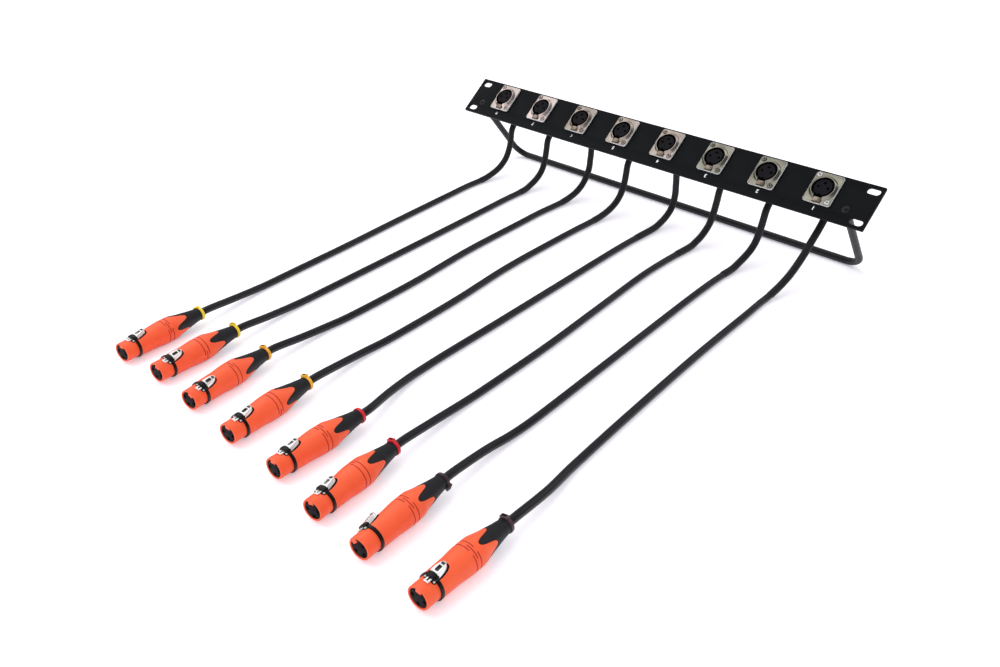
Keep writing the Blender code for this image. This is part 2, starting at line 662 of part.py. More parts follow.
def make_plug(index, materials):
    number = str(index + 1)
    latch_angle, valley_angle = PLUG_POSES[index][3:]
    frame = frame_empty("plug_frame_" + number, plug_matrix(index))
    tip = math.pi / 2 - math.radians(valley_angle - latch_angle) - math.pi / WAVE_COUNT

    lobes = [tip + math.tau * lobe / WAVE_COUNT for lobe in range(WAVE_COUNT)]
    angles = [lobe + corner for lobe in lobes for corner in LOBE_CORNERS]

    def edge(angle):
        return wave_edge(angle - tip)

    def knee(angle):
        return BELLY_END + (edge(angle) - BELLY_END) * WAVE_KNEE_SHARE

    def boot_edge(angle):
        return edge(angle) + WAVE_GAP

    def ring(radius, height):
        return angle_row(angles, radius, height)

    rows = [
        ring(PLUG_BORE_R, 0.0),
        ring(NOSE_R, 0.0),
        ring(NOSE_R, NOSE_LENGTH),
        ring(SHOULDER_R, NOSE_LENGTH),
        ring(WAIST_R, WAIST_AT),
        ring(BELLY_R, BELLY_AT),
        ring(BELLY_R, BELLY_END),
        ring(lambda angle: rear_radius(knee(angle)), knee),
        ring(lambda angle: rear_radius(edge(angle)), edge),
        ring(PLUG_NECK_R, edge),
        ring(PLUG_NECK_R, PLUG_BORE_DEPTH),
        ring(PLUG_BORE_R, PLUG_BORE_DEPTH),
    ]
    mesh = rows_mesh("plug_shell_" + number, [(rows, True)])
    shell = place("plug_shell_" + number, mesh, materials["plug_orange"], frame)
    stations = [
        (POCKET_FRONT, LATCH_WIDTH),
        (LATCH_BEND_AT, LATCH_WIDTH),
        (POCKET_REAR, LATCH_REAR_WIDTH),
    ]
    pocket = []
    for along, width in stations:
        side = width / 2 + FREE_GAP
        corners = [(-side, POCKET_FLOOR), (side, POCKET_FLOOR), (side, BELLY_R), (-side, BELLY_R)]
        pocket.append([(x, y, along) for x, y in corners])
    boolean(shell, "DIFFERENCE", helper("latch_pocket_" + number, [(pocket, False)], frame))
    # The tongue ends inside the nose's wall, a gap behind its front face.
    tongue = box_rows(
        (-TONGUE_WIDTH / 2, TONGUE_INNER, REST_GAP),
        (TONGUE_WIDTH / 2, (PLUG_BORE_R + NOSE_R) / 2, TONGUE_LENGTH),
    )
    boolean(shell, "UNION", helper("tongue_" + number, [(tongue, False)], frame))

    insert_r = PLUG_BORE_R - REST_GAP
    neck_r = PLUG_NECK_R - REST_GAP
    step = PLUG_BORE_DEPTH - REST_GAP
    rows = [
        ring(insert_r, INSERT_RECESS),
        ring(insert_r, step),
        ring(neck_r, step),
        ring(neck_r, boot_edge),
        ring(lambda angle: rear_radius(boot_edge(angle)), boot_edge),
        ring(rear_radius(BOOT_ROUND_AT), BOOT_ROUND_AT),
        ring(BOOT_MIDDLE_R, BOOT_MIDDLE_AT),
        ring(BOOT_END_R, BOOT_END_AT),
    ]
    mesh = rows_mesh("plug_core_" + number, [(rows, False)])
    core = place("plug_core_" + number, mesh, materials["boot_black"], frame)
    cuts = contact_holes(INSERT_RECESS - CUT_PAST, INSERT_RECESS + CONTACT_HOLE_DEPTH, -1.0)
    slot = box_rows(
        (-TONGUE_WIDTH / 2 - REST_GAP, TONGUE_INNER - REST_GAP, INSERT_RECESS - CUT_PAST),
        (TONGUE_WIDTH / 2 + REST_GAP, PLUG_BORE_R + CUT_PAST, TONGUE_LENGTH + REST_GAP),
    )
    cuts.append((slot, False))
    boolean(core, "DIFFERENCE", helper("core_holes_" + number, cuts, frame))

    # The latch's origin is on its pivot, which lies across the plug.
    stations = [
        (LATCH_FRONT, LATCH_WIDTH, LATCH_REST_HEIGHT, LATCH_THICKNESS),
        (LATCH_PIVOT_AT, LATCH_WIDTH, LATCH_REST_HEIGHT, LATCH_THICKNESS),
        (LATCH_BEND_AT, LATCH_BEND_WIDTH, LATCH_BEND_HEIGHT, LATCH_BEND_THICKNESS),
        (LATCH_REAR, LATCH_REAR_WIDTH, LATCH_REAR_HEIGHT, LATCH_REAR_THICKNESS),
    ]
    pivot = Vector((0.0, LATCH_PIVOT_HEIGHT, LATCH_PIVOT_AT))
    rows = []
    for along, width, top, thickness in stations:
        low = top - thickness
        corners = [(-width / 2, low), (width / 2, low), (width / 2, top), (-width / 2, top)]
        rows.append([tuple(Vector((x, y, along)) - pivot) for x, y in corners])
    mesh = rows_mesh("plug_latch_" + number, [(rows, False)])
    latch = place("plug_latch_" + number, mesh, materials["latch_steel"], frame, pivot)
    window = box_rows(
        (-WINDOW_WIDTH / 2, POCKET_FLOOR, WINDOW_FRONT),
        (WINDOW_WIDTH / 2, LATCH_REAR_HEIGHT + CUT_PAST, WINDOW_REAR),
    )
    boolean(latch, "DIFFERENCE", helper("latch_window_" + number, [(window, False)], frame))
    return frame


def smooth_line(points):
    """A smooth curve through the points, as a fine line: centripetal Catmull-Rom."""
    points = [Vector(p) for p in points]
    ends = [2 * points[0] - points[1]] + points + [2 * points[-1] - points[-2]]
    line = []
    for p0, p1, p2, p3 in zip(ends, ends[1:], ends[2:], ends[3:]):
        t1 = (p1 - p0).length ** 0.5
        t2 = t1 + (p2 - p1).length ** 0.5
        t3 = t2 + (p3 - p2).length ** 0.5
        for i in range(SMOOTH_STEPS):
            t = t1 + (t2 - t1) * i / SMOOTH_STEPS
            a1 = p0 * ((t1 - t) / t1) + p1 * (t / t1)
            a2 = p1 * ((t2 - t) / (t2 - t1)) + p2 * ((t - t1) / (t2 - t1))
            a3 = p2 * ((t3 - t) / (t3 - t2)) + p3 * ((t - t2) / (t3 - t2))
            b1 = a1 * ((t2 - t) / t2) + a2 * (t / t2)
            b2 = a2 * ((t3 - t) / (t3 - t1)) + a3 * ((t - t1) / (t3 - t1))
            line.append(b1 * ((t2 - t) / (t2 - t1)) + b2 * ((t - t1) / (t2 - t1)))
    return line + [points[-1]]


def thin_out(line):
    """Points a short step apart where the line bends and a long step apart where it runs straight."""
    kept = [line[0]]
    travelled = 0.0
    heading = (line[1] - line[0]).normalized()
    for before, point in zip(line, line[1:]):
        travelled += (point - before).length
        bends = heading.angle(point - before) >= CABLE_TURN_PER_STEP
        if travelled >= CABLE_LONG_STEP or (travelled >= CABLE_SHORT_STEP and bends):
            kept.append(point)
            travelled = 0.0
            heading = (point - before).normalized()
    if (line[-1] - kept[-1]).length < CABLE_SHORT_STEP / 2:
        kept.pop()
    return kept + [line[-1]]


def make_cable(index, panel_frame, plug_frame, materials):
    tail = SOCKET_BOSS_LENGTH + HOUSING_DEPTH + REST_GAP
    start = panel_frame.matrix_world @ Vector((socket_x(index), SOCKET_HEIGHT, -tail))
    lead_in = panel_frame.matrix_world @ Vector((socket_x(index), SOCKET_HEIGHT, -tail - CABLE_LEAD))
    end = plug_frame.matrix_world @ Vector((0.0, 0.0, BOOT_END_AT + REST_GAP))
    lead_out = plug_frame.matrix_world @ Vector((0.0, 0.0, BOOT_END_AT + REST_GAP + CABLE_LEAD))
    route = [(socket_x(index) + x, y, z) for x, y, z in CABLE_ROUTES[index]]
    line = smooth_line([start, lead_in, *route, lead_out, end])
    lowest = CABLE_R + CABLE_FLOOR_GAP
    # Both leads stay straight, so that the cable meets the socket and the boot squarely.
    kept = [start] + thin_out(line[SMOOTH_STEPS:-SMOOTH_STEPS]) + [end]
    points = [Vector((p.x, p.y, max(p.z, lowest))) for p in kept]
    curve = bpy.data.curves.new("cable_" + str(index + 1), "CURVE")
    curve.dimensions = "3D"
    curve.bevel_depth = CABLE_R
    curve.bevel_resolution = 2
    curve.use_fill_caps = True
    spline = curve.splines.new("POLY")
    spline.points.add(len(points) - 1)
    for spot, point in zip(spline.points, points):
        spot.co = (*point, 1.0)
    spline.use_smooth = True
    curve.materials.append(materials["cable_black"])
    item = bpy.data.objects.new("cable_" + str(index + 1), curve)
    bpy.context.scene.collection.objects.link(item)


def main():
    clear_scene()
    materials = make_materials()
    sine = math.sin(PANEL_TILT)
    cosine = math.cos(PANEL_TILT)
    # The bar's lowest line is on the floor, and the origin is under the middle of panel and bar.
    height = BAR_R - (sine * BAR_HEIGHT - cosine * BAR_REACH)
    depth = -(cosine * BAR_HEIGHT + sine * BAR_REACH + BAR_R) / 2
    matrix = Matrix.Translation((0.0, depth, height)) @ Matrix.Rotation(PANEL_TILT, 4, "X")
    panel_frame = frame_empty("panel_frame", matrix)
    bpy.context.view_layer.update()
    make_panel(panel_frame, materials)
    make_bar(panel_frame, materials)
    make_bar_screws(panel_frame, materials)
    for index in range(SOCKET_COUNT):
        make_socket(index, panel_frame, materials)
        plug_frame = make_plug(index, materials)
        bpy.context.view_layer.update()
        make_cable(index, panel_frame, plug_frame, materials)


main()
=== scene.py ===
"""Looks of a rack patch panel with eight tail cables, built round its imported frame.
All sizes are in metres. X runs along the panel, -Y is the plug side and +Z is up."""

import math

import bmesh
import bpy
from mathutils import Matrix, Vector


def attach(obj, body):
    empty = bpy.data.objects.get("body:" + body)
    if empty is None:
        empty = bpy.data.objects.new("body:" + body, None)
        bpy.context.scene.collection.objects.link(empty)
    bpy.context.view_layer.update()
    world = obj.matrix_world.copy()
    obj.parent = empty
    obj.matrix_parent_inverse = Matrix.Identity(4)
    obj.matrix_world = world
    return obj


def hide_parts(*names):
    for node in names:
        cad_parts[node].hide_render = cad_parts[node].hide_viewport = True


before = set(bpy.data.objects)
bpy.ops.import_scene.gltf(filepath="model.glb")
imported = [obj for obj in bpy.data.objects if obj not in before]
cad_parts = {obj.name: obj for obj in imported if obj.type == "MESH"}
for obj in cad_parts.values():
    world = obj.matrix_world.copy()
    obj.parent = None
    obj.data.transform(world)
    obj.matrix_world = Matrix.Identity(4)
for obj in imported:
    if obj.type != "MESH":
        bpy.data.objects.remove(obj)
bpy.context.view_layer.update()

MM = 0.001
LINES = 8
TILT = math.radians(40.3)
PANEL_HALF_LENGTH = 241.3 * MM
PANEL_HALF_HEIGHT = 22.0 * MM
PANEL_THICKNESS = 3.0 * MM
RACK_SLOT_X = 232.55 * MM
RACK_SLOT_Y = 15.875 * MM
BAR_R = 3.5 * MM
BAR_MIDDLE_X = -2.1 * MM
BAR_ARM_X = 221.6 * MM
BAR_HEIGHT = 14.3 * MM
BAR_REACH = 100.6 * MM
BAR_SKEW = 2.0 * MM
BAR_BEND_R = 16.0 * MM
SOCKET_FIRST_X = -194.5 * MM
SOCKET_PITCH = 55.31 * MM
SOCKET_HEIGHT = 26.3 * MM
# The visible jacket is a little thicker than the cable's solid.
JACKET_R = 3.12 * MM
SLEEVE_R = 3.4 * MM
BELLY_R = 9.95 * MM
BOOT_END = 78.0 * MM
# The socket's depth to where its cable comes out, and the cable's straight start at both ends
TAIL = 23.3 * MM
LEAD = 6.0 * MM
PLUG_CLEARANCE = 0.3 * MM
FLOOR_CLEARANCE = 0.02 * MM

# The panel leans back on its bar. In its own frame Y runs up its front, and Z out of it.
sine = math.sin(TILT)
cosine = math.cos(TILT)
floor_height = BAR_R - (sine * BAR_HEIGHT - cosine * BAR_REACH)
depth = -(cosine * BAR_HEIGHT + sine * BAR_REACH + BAR_R) / 2
PANEL = Matrix.Translation((0.0, depth, floor_height)) @ Matrix.Rotation(TILT, 4, "X")

# Each plug: x from its own socket, y, its heading, and the angles of its latch and of one valley of its
# shell's wavy edge. The angles are in degrees, and the last two are counted from straight up.
PLUG_POSES = [
    (0.0754, -0.5278, 100.0, -4.0, 12.0),
    (0.0657, -0.5228, 99.3, -20.0, -45.5),
    (0.0611, -0.5242, 101.8, -24.0, 6.5),
    (0.0611, -0.5261, 100.2, -6.0, 10.5),
    (0.0602, -0.5252, 95.4, 4.0, -50.0),
    (0.0557, -0.5313, 99.5, 10.0, -29.0),
    (0.0473, -0.5318, 98.1, 45.0, -39.5),
    (0.0450, -0.5328, 94.8, -4.0, -26.0),
]
# Each cable's points between its socket and its plug, with x from its own socket
CABLE_ROUTES = [
    [
        (0.0000, -0.0096, 0.0500), (0.0000, -0.0114, 0.0400), (0.0000, -0.0137, 0.0300),
        (0.0001, -0.0187, 0.0200), (0.0003, -0.0247, 0.0140), (0.0007, -0.0337, 0.0090),
        (0.0013, -0.0442, 0.0060), (0.0019, -0.0557, 0.0040), (0.0025, -0.0797, 0.00305),
        (0.0081, -0.1197, 0.00305), (0.0200, -0.1997, 0.00305), (0.0326, -0.2797, 0.00305),
        (0.0437, -0.3597, 0.00305), (0.0476, -0.3847, 0.0036), (0.0531, -0.4117, 0.0060),
    ],
    [
        (0.0000, -0.0096, 0.0500), (0.0000, -0.0113, 0.0400), (0.0001, -0.0135, 0.0300),
        (0.0003, -0.0173, 0.0200), (0.0006, -0.0227, 0.0140), (0.0010, -0.0307, 0.0090),
        (0.0016, -0.0392, 0.0060), (0.0024, -0.0472, 0.0040), (0.0050, -0.0797, 0.00305),
        (0.0101, -0.1197, 0.00305), (0.0201, -0.1997, 0.00305), (0.0298, -0.2797, 0.00305),
        (0.0391, -0.3597, 0.00305), (0.0419, -0.3847, 0.0036), (0.0464, -0.4117, 0.0060),
    ],
    [
        (0.0000, -0.0003, 0.0500), (0.0000, -0.0012, 0.0400), (0.0000, -0.0026, 0.0300),
        (0.0000, -0.0079, 0.0200), (0.0001, -0.0137, 0.0140), (0.0002, -0.0222, 0.0090),
        (0.0004, -0.0322, 0.0060), (0.0006, -0.0447, 0.0040), (0.0013, -0.0797, 0.00305),
        (0.0053, -0.1197, 0.00305), (0.0139, -0.1997, 0.00305), (0.0269, -0.2797, 0.00305),
        (0.0355, -0.3597, 0.00305), (0.0366, -0.3847, 0.0036), (0.0396, -0.4117, 0.0060),
    ],
    [
        (0.0000, -0.0075, 0.0500), (0.0000, -0.0092, 0.0400), (0.0000, -0.0113, 0.0300),
        (0.0000, -0.0161, 0.0200), (0.0000, -0.0217, 0.0140), (0.0001, -0.0307, 0.0090),
        (0.0002, -0.0405, 0.0060), (0.0004, -0.0537, 0.0040), (0.0010, -0.0797, 0.00305),
        (0.0038, -0.1197, 0.00305), (0.0114, -0.1997, 0.00305), (0.0241, -0.2797, 0.00305),
        (0.0333, -0.3597, 0.00305), (0.0349, -0.3847, 0.0036), (0.0391, -0.4117, 0.0060),
    ],
    [
        (0.0000, 0.0015, 0.0500), (0.0000, 0.0023, 0.0400), (0.0000, 0.0027, 0.0300),
        (0.0001, 0.0003, 0.0200), (0.0003, -0.0043, 0.0140), (0.0006, -0.0122, 0.0090),
        (0.0010, -0.0207, 0.0060), (0.0015, -0.0302, 0.0040), (0.0034, -0.0797, 0.00305),
        (0.0068, -0.1197, 0.00305), (0.0147, -0.1997, 0.00305), (0.0224, -0.2797, 0.00305),
        (0.0297, -0.3597, 0.00305), (0.0333, -0.3847, 0.0036), (0.0409, -0.4117, 0.0060),
    ],
    [
        (0.0000, -0.0058, 0.0500), (-0.0004, -0.0074, 0.0400), (-0.0008, -0.0097, 0.0300),
        (-0.0013, -0.0135, 0.0200), (-0.0017, -0.0187, 0.0140), (-0.0019, -0.0262, 0.0090),
        (-0.0021, -0.0337, 0.0060), (-0.0021, -0.0407, 0.0040), (-0.0018, -0.0797, 0.00305),
        (0.0007, -0.1197, 0.00305), (0.0114, -0.1997, 0.00305), (0.0222, -0.2797, 0.00305),
        (0.0301, -0.3597, 0.00305), (0.0322, -0.3847, 0.0036), (0.0358, -0.4117, 0.0060),
    ],
    [
        (0.0000, -0.0114, 0.0500), (-0.0003, -0.0137, 0.0400), (-0.0007, -0.0162, 0.0300),
        (-0.0012, -0.0202, 0.0200), (-0.0015, -0.0262, 0.0140), (-0.0018, -0.0362, 0.0090),
        (-0.0019, -0.0457, 0.0060), (-0.0018, -0.0537, 0.0040), (-0.0014, -0.0797, 0.00305),
        (0.0016, -0.1197, 0.00305), (0.0100, -0.1997, 0.00305), (0.0187, -0.2797, 0.00305),
        (0.0271, -0.3597, 0.00305), (0.0287, -0.3847, 0.0036), (0.0302, -0.4117, 0.0060),
    ],
    [
        (-0.0003, -0.0125, 0.0500), (-0.0009, -0.0220, 0.0400), (-0.0016, -0.0307, 0.0300),
        (-0.0025, -0.0417, 0.0200), (-0.0032, -0.0502, 0.0140), (-0.0038, -0.0612, 0.0090),
        (-0.0043, -0.0707, 0.0060), (-0.0047, -0.0792, 0.0040), (-0.0046, -0.0902, 0.00305),
        (-0.0019, -0.1197, 0.00305), (0.0049, -0.1997, 0.00305), (0.0135, -0.2797, 0.00305),
        (0.0231, -0.3597, 0.00305), (0.0267, -0.3847, 0.0036), (0.0325, -0.4117, 0.0060),
    ],
]

# Materials


def linear(value):
    value /= 255
    return value / 12.92 if value <= 0.04045 else ((value + 0.055) / 1.055) ** 2.4


def rgb(r, g, b):
    return (linear(r), linear(g), linear(b), 1.0)


def surface(
    name, first, second, rough, metallic=0.0, scale=150.0, bump=0.0, bump_scale=1500.0, **sockets,
):
    """A procedural finish: two colours mottled together, uneven roughness and a fine bump."""
    material = bpy.data.materials.new(name)
    material.use_nodes = True
    tree = material.node_tree
    shader = tree.nodes["Principled BSDF"]
    coord = tree.nodes.new("ShaderNodeTexCoord")
    noise = tree.nodes.new("ShaderNodeTexNoise")
    noise.inputs["Scale"].default_value = scale
    noise.inputs["Detail"].default_value = 4.0
    tree.links.new(coord.outputs["Object"], noise.inputs["Vector"])
    spread = tree.nodes.new("ShaderNodeMapRange")
    spread.inputs["From Min"].default_value = 0.25
    spread.inputs["From Max"].default_value = 0.75
    tree.links.new(noise.outputs["Fac"], spread.inputs["Value"])
    mix = tree.nodes.new("ShaderNodeMix")
    mix.data_type = "RGBA"
    mix.inputs["A"].default_value = first
    mix.inputs["B"].default_value = second
    tree.links.new(spread.outputs["Result"], mix.inputs["Factor"])
    tree.links.new(mix.outputs["Result"], shader.inputs["Base Color"])
    dull = tree.nodes.new("ShaderNodeMapRange")
    dull.inputs["To Min"].default_value = rough[0]
    dull.inputs["To Max"].default_value = rough[1]
    tree.links.new(spread.outputs["Result"], dull.inputs["Value"])
    tree.links.new(dull.outputs["Result"], shader.inputs["Roughness"])
    shader.inputs["Metallic"].default_value = metallic
    for socket, value in sockets.items():
        shader.inputs[socket.replace("_", " ")].default_value = value
    if bump:
        grain = tree.nodes.new("ShaderNodeTexNoise")
        grain.inputs["Scale"].default_value = bump_scale
        grain.inputs["Detail"].default_value = 3.0
        tree.links.new(coord.outputs["Object"], grain.inputs["Vector"])
        bumps = tree.nodes.new("ShaderNodeBump")
        bumps.inputs["Strength"].default_value = bump
        bumps.inputs["Distance"].default_value = 0.0002
        tree.links.new(grain.outputs["Fac"], bumps.inputs["Height"])
        tree.links.new(bumps.outputs["Normal"], shader.inputs["Normal"])
    return material


panel_paint = surface(
    "panel_paint", rgb(13, 15, 18), rgb(17, 19, 22), (0.45, 0.55),
    bump=0.25, bump_scale=1800.0, Specular_IOR_Level=0.07,
)
bar_paint = surface(
    "bar_paint", rgb(24, 23, 26), rgb(31, 30, 33), (0.35, 0.5),
    bump=0.2, bump_scale=900.0, Specular_IOR_Level=0.3,
)
screw_black = surface("screw_black", rgb(18, 18, 20), rgb(32, 32, 34), (0.25, 0.4), 0.6, bump=0.1)
# Three tones of one nickel, lighter and darker copies given socket by socket: a painted reflection.
nickel_painted_reflection_tones = (
    ("nickel_painted_reflection_rose", rgb(222, 208, 204), rgb(178, 162, 156)),
    ("nickel_painted_reflection_warm", rgb(192, 180, 170), rgb(140, 128, 118)),
    ("nickel_painted_reflection_olive", rgb(160, 157, 144), rgb(112, 109, 98)),
)
nickel_reflection_copies = [
    surface(name, first, second, (0.2, 0.34), 1.0, scale=70.0, bump=0.12, bump_scale=700.0)
    for name, first, second in nickel_painted_reflection_tones
]
tab_metal = surface(
    "tab_metal", rgb(172, 158, 144), rgb(132, 116, 102), (0.28, 0.42),
    1.0, scale=260.0, bump=0.5, bump_scale=900.0,
)
# Brown lining for the sockets' recesses: painted shade, its brown a painted reflection of the orange plugs.
recess_shade_and_reflection_brown = surface(
    "recess_shade_and_reflection_brown", rgb(96, 74, 58), rgb(66, 50, 40), (0.35, 0.5),
    0.7, scale=260.0, bump=0.3,
)
insert_black = surface(
    "insert_black", rgb(17, 15, 21), rgb(23, 21, 27), (0.5, 0.62),
    bump=0.15, Specular_IOR_Level=0.08,
)
# Near-black lining for holes, pockets and screw recesses: painted shade.
pit_painted_shade = surface("pit_painted_shade", rgb(8, 8, 10), rgb(14, 14, 16), (0.7, 0.85), bump=0.1)
contact_gold = surface("contact_gold", rgb(200, 160, 84), rgb(168, 128, 60), (0.25, 0.4), 1.0, bump=0.05)
jacket = surface(
    "jacket", rgb(20, 19, 24), rgb(27, 26, 32), (0.34, 0.46),
    scale=60.0, bump=0.12, bump_scale=500.0, Specular_IOR_Level=0.35,
)
sleeve_black = surface(
    "sleeve_black", rgb(26, 25, 28), rgb(32, 31, 34), (0.5, 0.62),
    scale=90.0, bump=0.3, bump_scale=420.0, Specular_IOR_Level=0.3,
)
orange = surface(
    "orange", rgb(255, 101, 58), rgb(252, 95, 53), (0.38, 0.5),
    scale=110.0, bump=0.1, bump_scale=1300.0, Specular_IOR_Level=0.35,
)
# Darker red for the faces inside the grooves: painted shade.
groove_painted_shade = surface("groove_painted_shade", rgb(196, 44, 22), rgb(180, 38, 18), (0.6, 0.7), bump=0.1)
# Bright white steel for the latch; on the flange's rounded edges and the last socket's screws it is a painted
# highlight.
steel_and_painted_highlight = surface(
    "steel_and_painted_highlight", rgb(250, 250, 250), rgb(236, 236, 236), (0.2, 0.3),
    0.4, scale=160.0, bump=0.05,
)
rubber = surface(
    "rubber", rgb(25, 26, 30), rgb(31, 32, 36), (0.5, 0.62),
    scale=140.0, bump=0.25, bump_scale=1000.0, Specular_IOR_Level=0.3,
)
ring_black = surface(
    "ring_black", rgb(8, 8, 9), rgb(13, 13, 14), (0.35, 0.48),
    bump=0.1, Specular_IOR_Level=0.3,
)
# The ground under the latch's window: olive as painted shade, pale as a painted reflection, chosen plug by
# plug.
window_painted_shade = surface("window_painted_shade", rgb(58, 58, 44), rgb(78, 78, 60), (0.5, 0.6), bump=0.1)
window_painted_reflection = surface("window_painted_reflection", rgb(196, 184, 190), rgb(176, 164, 172), (0.4, 0.5), bump=0.1)
# Dark grey for the latch's grip: a painted reflection in its steel.
grip_painted_reflection = surface("grip_painted_reflection", rgb(52, 56, 54), rgb(76, 82, 80), (0.5, 0.6), bump=0.2)
print_white = surface(
    "print_white", rgb(252, 253, 255), rgb(240, 242, 246), (0.5, 0.6),
    scale=500.0, bump=0.1,
)

# Mesh helpers

SHARP = math.radians(35.0)


def mm(*values):
    """Millimetres in, metres out."""
    return tuple(value * MM for value in values)


def in_mm(points):
    return [mm(*point) for point in points]


def link(name, data, matrix=Matrix()):
    item = bpy.data.objects.new(name, data)
    item.matrix_world = matrix
    bpy.context.scene.collection.objects.link(item)
    return item


def mesh_of(item):
    """The item's mesh as its curve, text or modifiers make it."""
    bpy.context.view_layer.update()
    return bpy.data.meshes.new_from_object(item.evaluated_get(bpy.context.evaluated_depsgraph_get()))


def finish_mesh(name, built, material, matrix=Matrix()):
    bmesh.ops.recalc_face_normals(built, faces=built.faces)
    mesh = bpy.data.meshes.new(name)
    built.to_mesh(mesh)
    built.free()
    mesh.shade_smooth()
    mesh.set_sharp_from_angle(angle=SHARP)
    mesh.materials.append(material)
    return link(name, mesh, matrix)


def circle(sides, radius, height, turn=0.0, centre=(0.0, 0.0)):
    """Points round Z. The radius and height may depend on the angle."""
    row = []
    for i in range(sides):
        angle = turn + math.tau * i / sides
        r = radius(angle) if callable(radius) else radius
        z = height(angle) if callable(height) else height
        row.append((centre[0] + r * math.cos(angle), centre[1] + r * math.sin(angle), z))
    return row


def skin(built, rows, joined=False):
    """A closed shape through the rows, capped at its ends or joined into a ring."""
    rings = [[built.verts.new(point) for point in row] for row in rows]
    pairs = list(zip(rings, rings[1:]))
    if joined:
        pairs.append((rings[-1], rings[0]))
    else:
        built.faces.new(rings[0])
        built.faces.new(rings[-1])
    count = len(rings[0])
    for low, high in pairs:
        for i in range(count):
            j = (i + 1) % count
            built.faces.new((low[i], low[j], high[j], high[i]))


def turned(name, profile, sides, material, matrix, joined=False, centre=(0.0, 0.0)):
    """A turned shape from a profile of radii and heights in millimetres."""
    built = bmesh.new()
    skin(built, [circle(sides, r * MM, z * MM, 0.0, centre) for r, z in profile], joined)
    return finish_mesh(name, built, material, matrix)


def box(built, low, high, bevel=0.0, segments=2):
    made = bmesh.ops.create_cube(built, size=1.0)["verts"]
    for vert in made:
        for k in range(3):
            middle = (low[k] + high[k]) / 2
            vert.co[k] = middle + vert.co[k] * (high[k] - low[k])
    if bevel:
        edges = {edge for vert in made for edge in vert.link_edges}
        bmesh.ops.bevel(built, geom=list(edges), offset=bevel, segments=segments, profile=0.5, affect="EDGES")


def plate(name, outlines, low, high, bevel, material, matrix):
    """A flat plate between two heights with holes in it and rounded edges. The first outline is its rim."""
    curve = bpy.data.curves.new(name, "CURVE")
    curve.dimensions = "2D"
    curve.fill_mode = "BOTH"
    curve.extrude = (high - low) / 2 - bevel
    curve.bevel_depth = bevel
    curve.bevel_resolution = 2
    curve.offset = -bevel
    for outline in outlines:
        spline = curve.splines.new("POLY")
        spline.points.add(len(outline) - 1)
        for point, (x, y) in zip(spline.points, outline):
            point.co = (x, y, 0.0, 1.0)
        spline.use_cyclic_u = True
    helper = link(name, curve)
    mesh = mesh_of(helper)
    bpy.data.objects.remove(helper, do_unlink=True)
    mesh.materials.clear()
    built = bmesh.new()
    built.from_mesh(mesh)
    bpy.data.meshes.remove(mesh)
    bmesh.ops.remove_doubles(built, verts=built.verts, dist=1e-6)
    bmesh.ops.translate(built, verts=built.verts, vec=(0.0, 0.0, (low + high) / 2))
    return finish_mesh(name, built, material, matrix)


def rounded(half_x, half_y, radius, centre=(0.0, 0.0), steps=8):
    """The outline of a rectangle with round corners."""
    outline = []
    for corner, (sx, sy) in enumerate(((1, 1), (-1, 1), (-1, -1), (1, -1))):
        for i in range(steps + 1):
            angle = math.pi / 2 * (corner + i / steps)
            x = centre[0] + sx * (half_x - radius) + radius * math.cos(angle)
            y = centre[1] + sy * (half_y - radius) + radius * math.sin(angle)
            outline.append((x, y))
    return outline


def round_hole(radius, centre, sides=48):
    return [(x, y) for x, y, _ in circle(sides, radius, 0.0, 0.0, centre)]


def cut(item, built, lining=None):
    """Cuts a closed shape from the item and keeps the result as its mesh. The lining is the cut's finish."""
    bmesh.ops.recalc_face_normals(built, faces=built.faces)
    mesh = bpy.data.meshes.new("cutter")
    if lining is not None:
        if lining not in list(item.data.materials):
            item.data.materials.append(lining)
        for material in item.data.materials:
            mesh.materials.append(material)
        for face in built.faces:
            face.material_index = list(item.data.materials).index(lining)
    built.to_mesh(mesh)
    built.free()
    tool = link("cutter", mesh, item.matrix_world)
    step = item.modifiers.new("cut", "BOOLEAN")
    step.operation = "DIFFERENCE"
    step.solver = "EXACT"
    step.object = tool
    result = mesh_of(item)
    item.modifiers.clear()
    old = item.data
    item.data = result
    bpy.data.meshes.remove(old)
    bpy.data.objects.remove(tool, do_unlink=True)
    bpy.data.meshes.remove(mesh)
    result.shade_smooth()
    result.set_sharp_from_angle(angle=SHARP)


def join(first, *others):
    """One object from several that share a frame; each keeps its materials."""
    built = bmesh.new()
    built.from_mesh(first.data)
    for other in others:
        slots = []
        for material in other.data.materials:
            if material not in list(first.data.materials):
                first.data.materials.append(material)
            slots.append(list(first.data.materials).index(material))
        start = len(built.faces)
        built.from_mesh(other.data)
        built.faces.ensure_lookup_table()
        for face in built.faces[start:]:
            face.material_index = slots[face.material_index]
        data = other.data
        bpy.data.objects.remove(other, do_unlink=True)
        bpy.data.meshes.remove(data)
    built.to_mesh(first.data)
    built.free()
    return first


def settle(item, body, slot, *nodes):
    """Puts a finished piece on its body and in place of the nodes that it stands for. The slot is not used.
    """
    if item.type == "MESH":
        item.data.transform(item.matrix_world)
        item.matrix_world = Matrix()
        bpy.context.view_layer.update()
    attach(item, body)
    if nodes:
        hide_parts(*nodes)


# Cables


def socket_x(index):
    return SOCKET_FIRST_X + SOCKET_PITCH * index


def plug_matrix(index):
    """The plug's own frame: Z runs back from its front face, and Y points at the latch."""
    x, y, heading, latch_angle, _ = PLUG_POSES[index]
    along = Vector((math.cos(math.radians(heading)), math.sin(math.radians(heading)), 0.0))
    up = Vector((0.0, 0.0, 1.0))
    side = up.cross(along)
    roll = math.radians(latch_angle)
    latch = up * math.cos(roll) + side * math.sin(roll)
    across = latch.cross(along)
    matrix = Matrix((across, latch, along)).transposed().to_4x4()
    matrix.translation = Vector((socket_x(index) + x, y, BELLY_R))
    return matrix


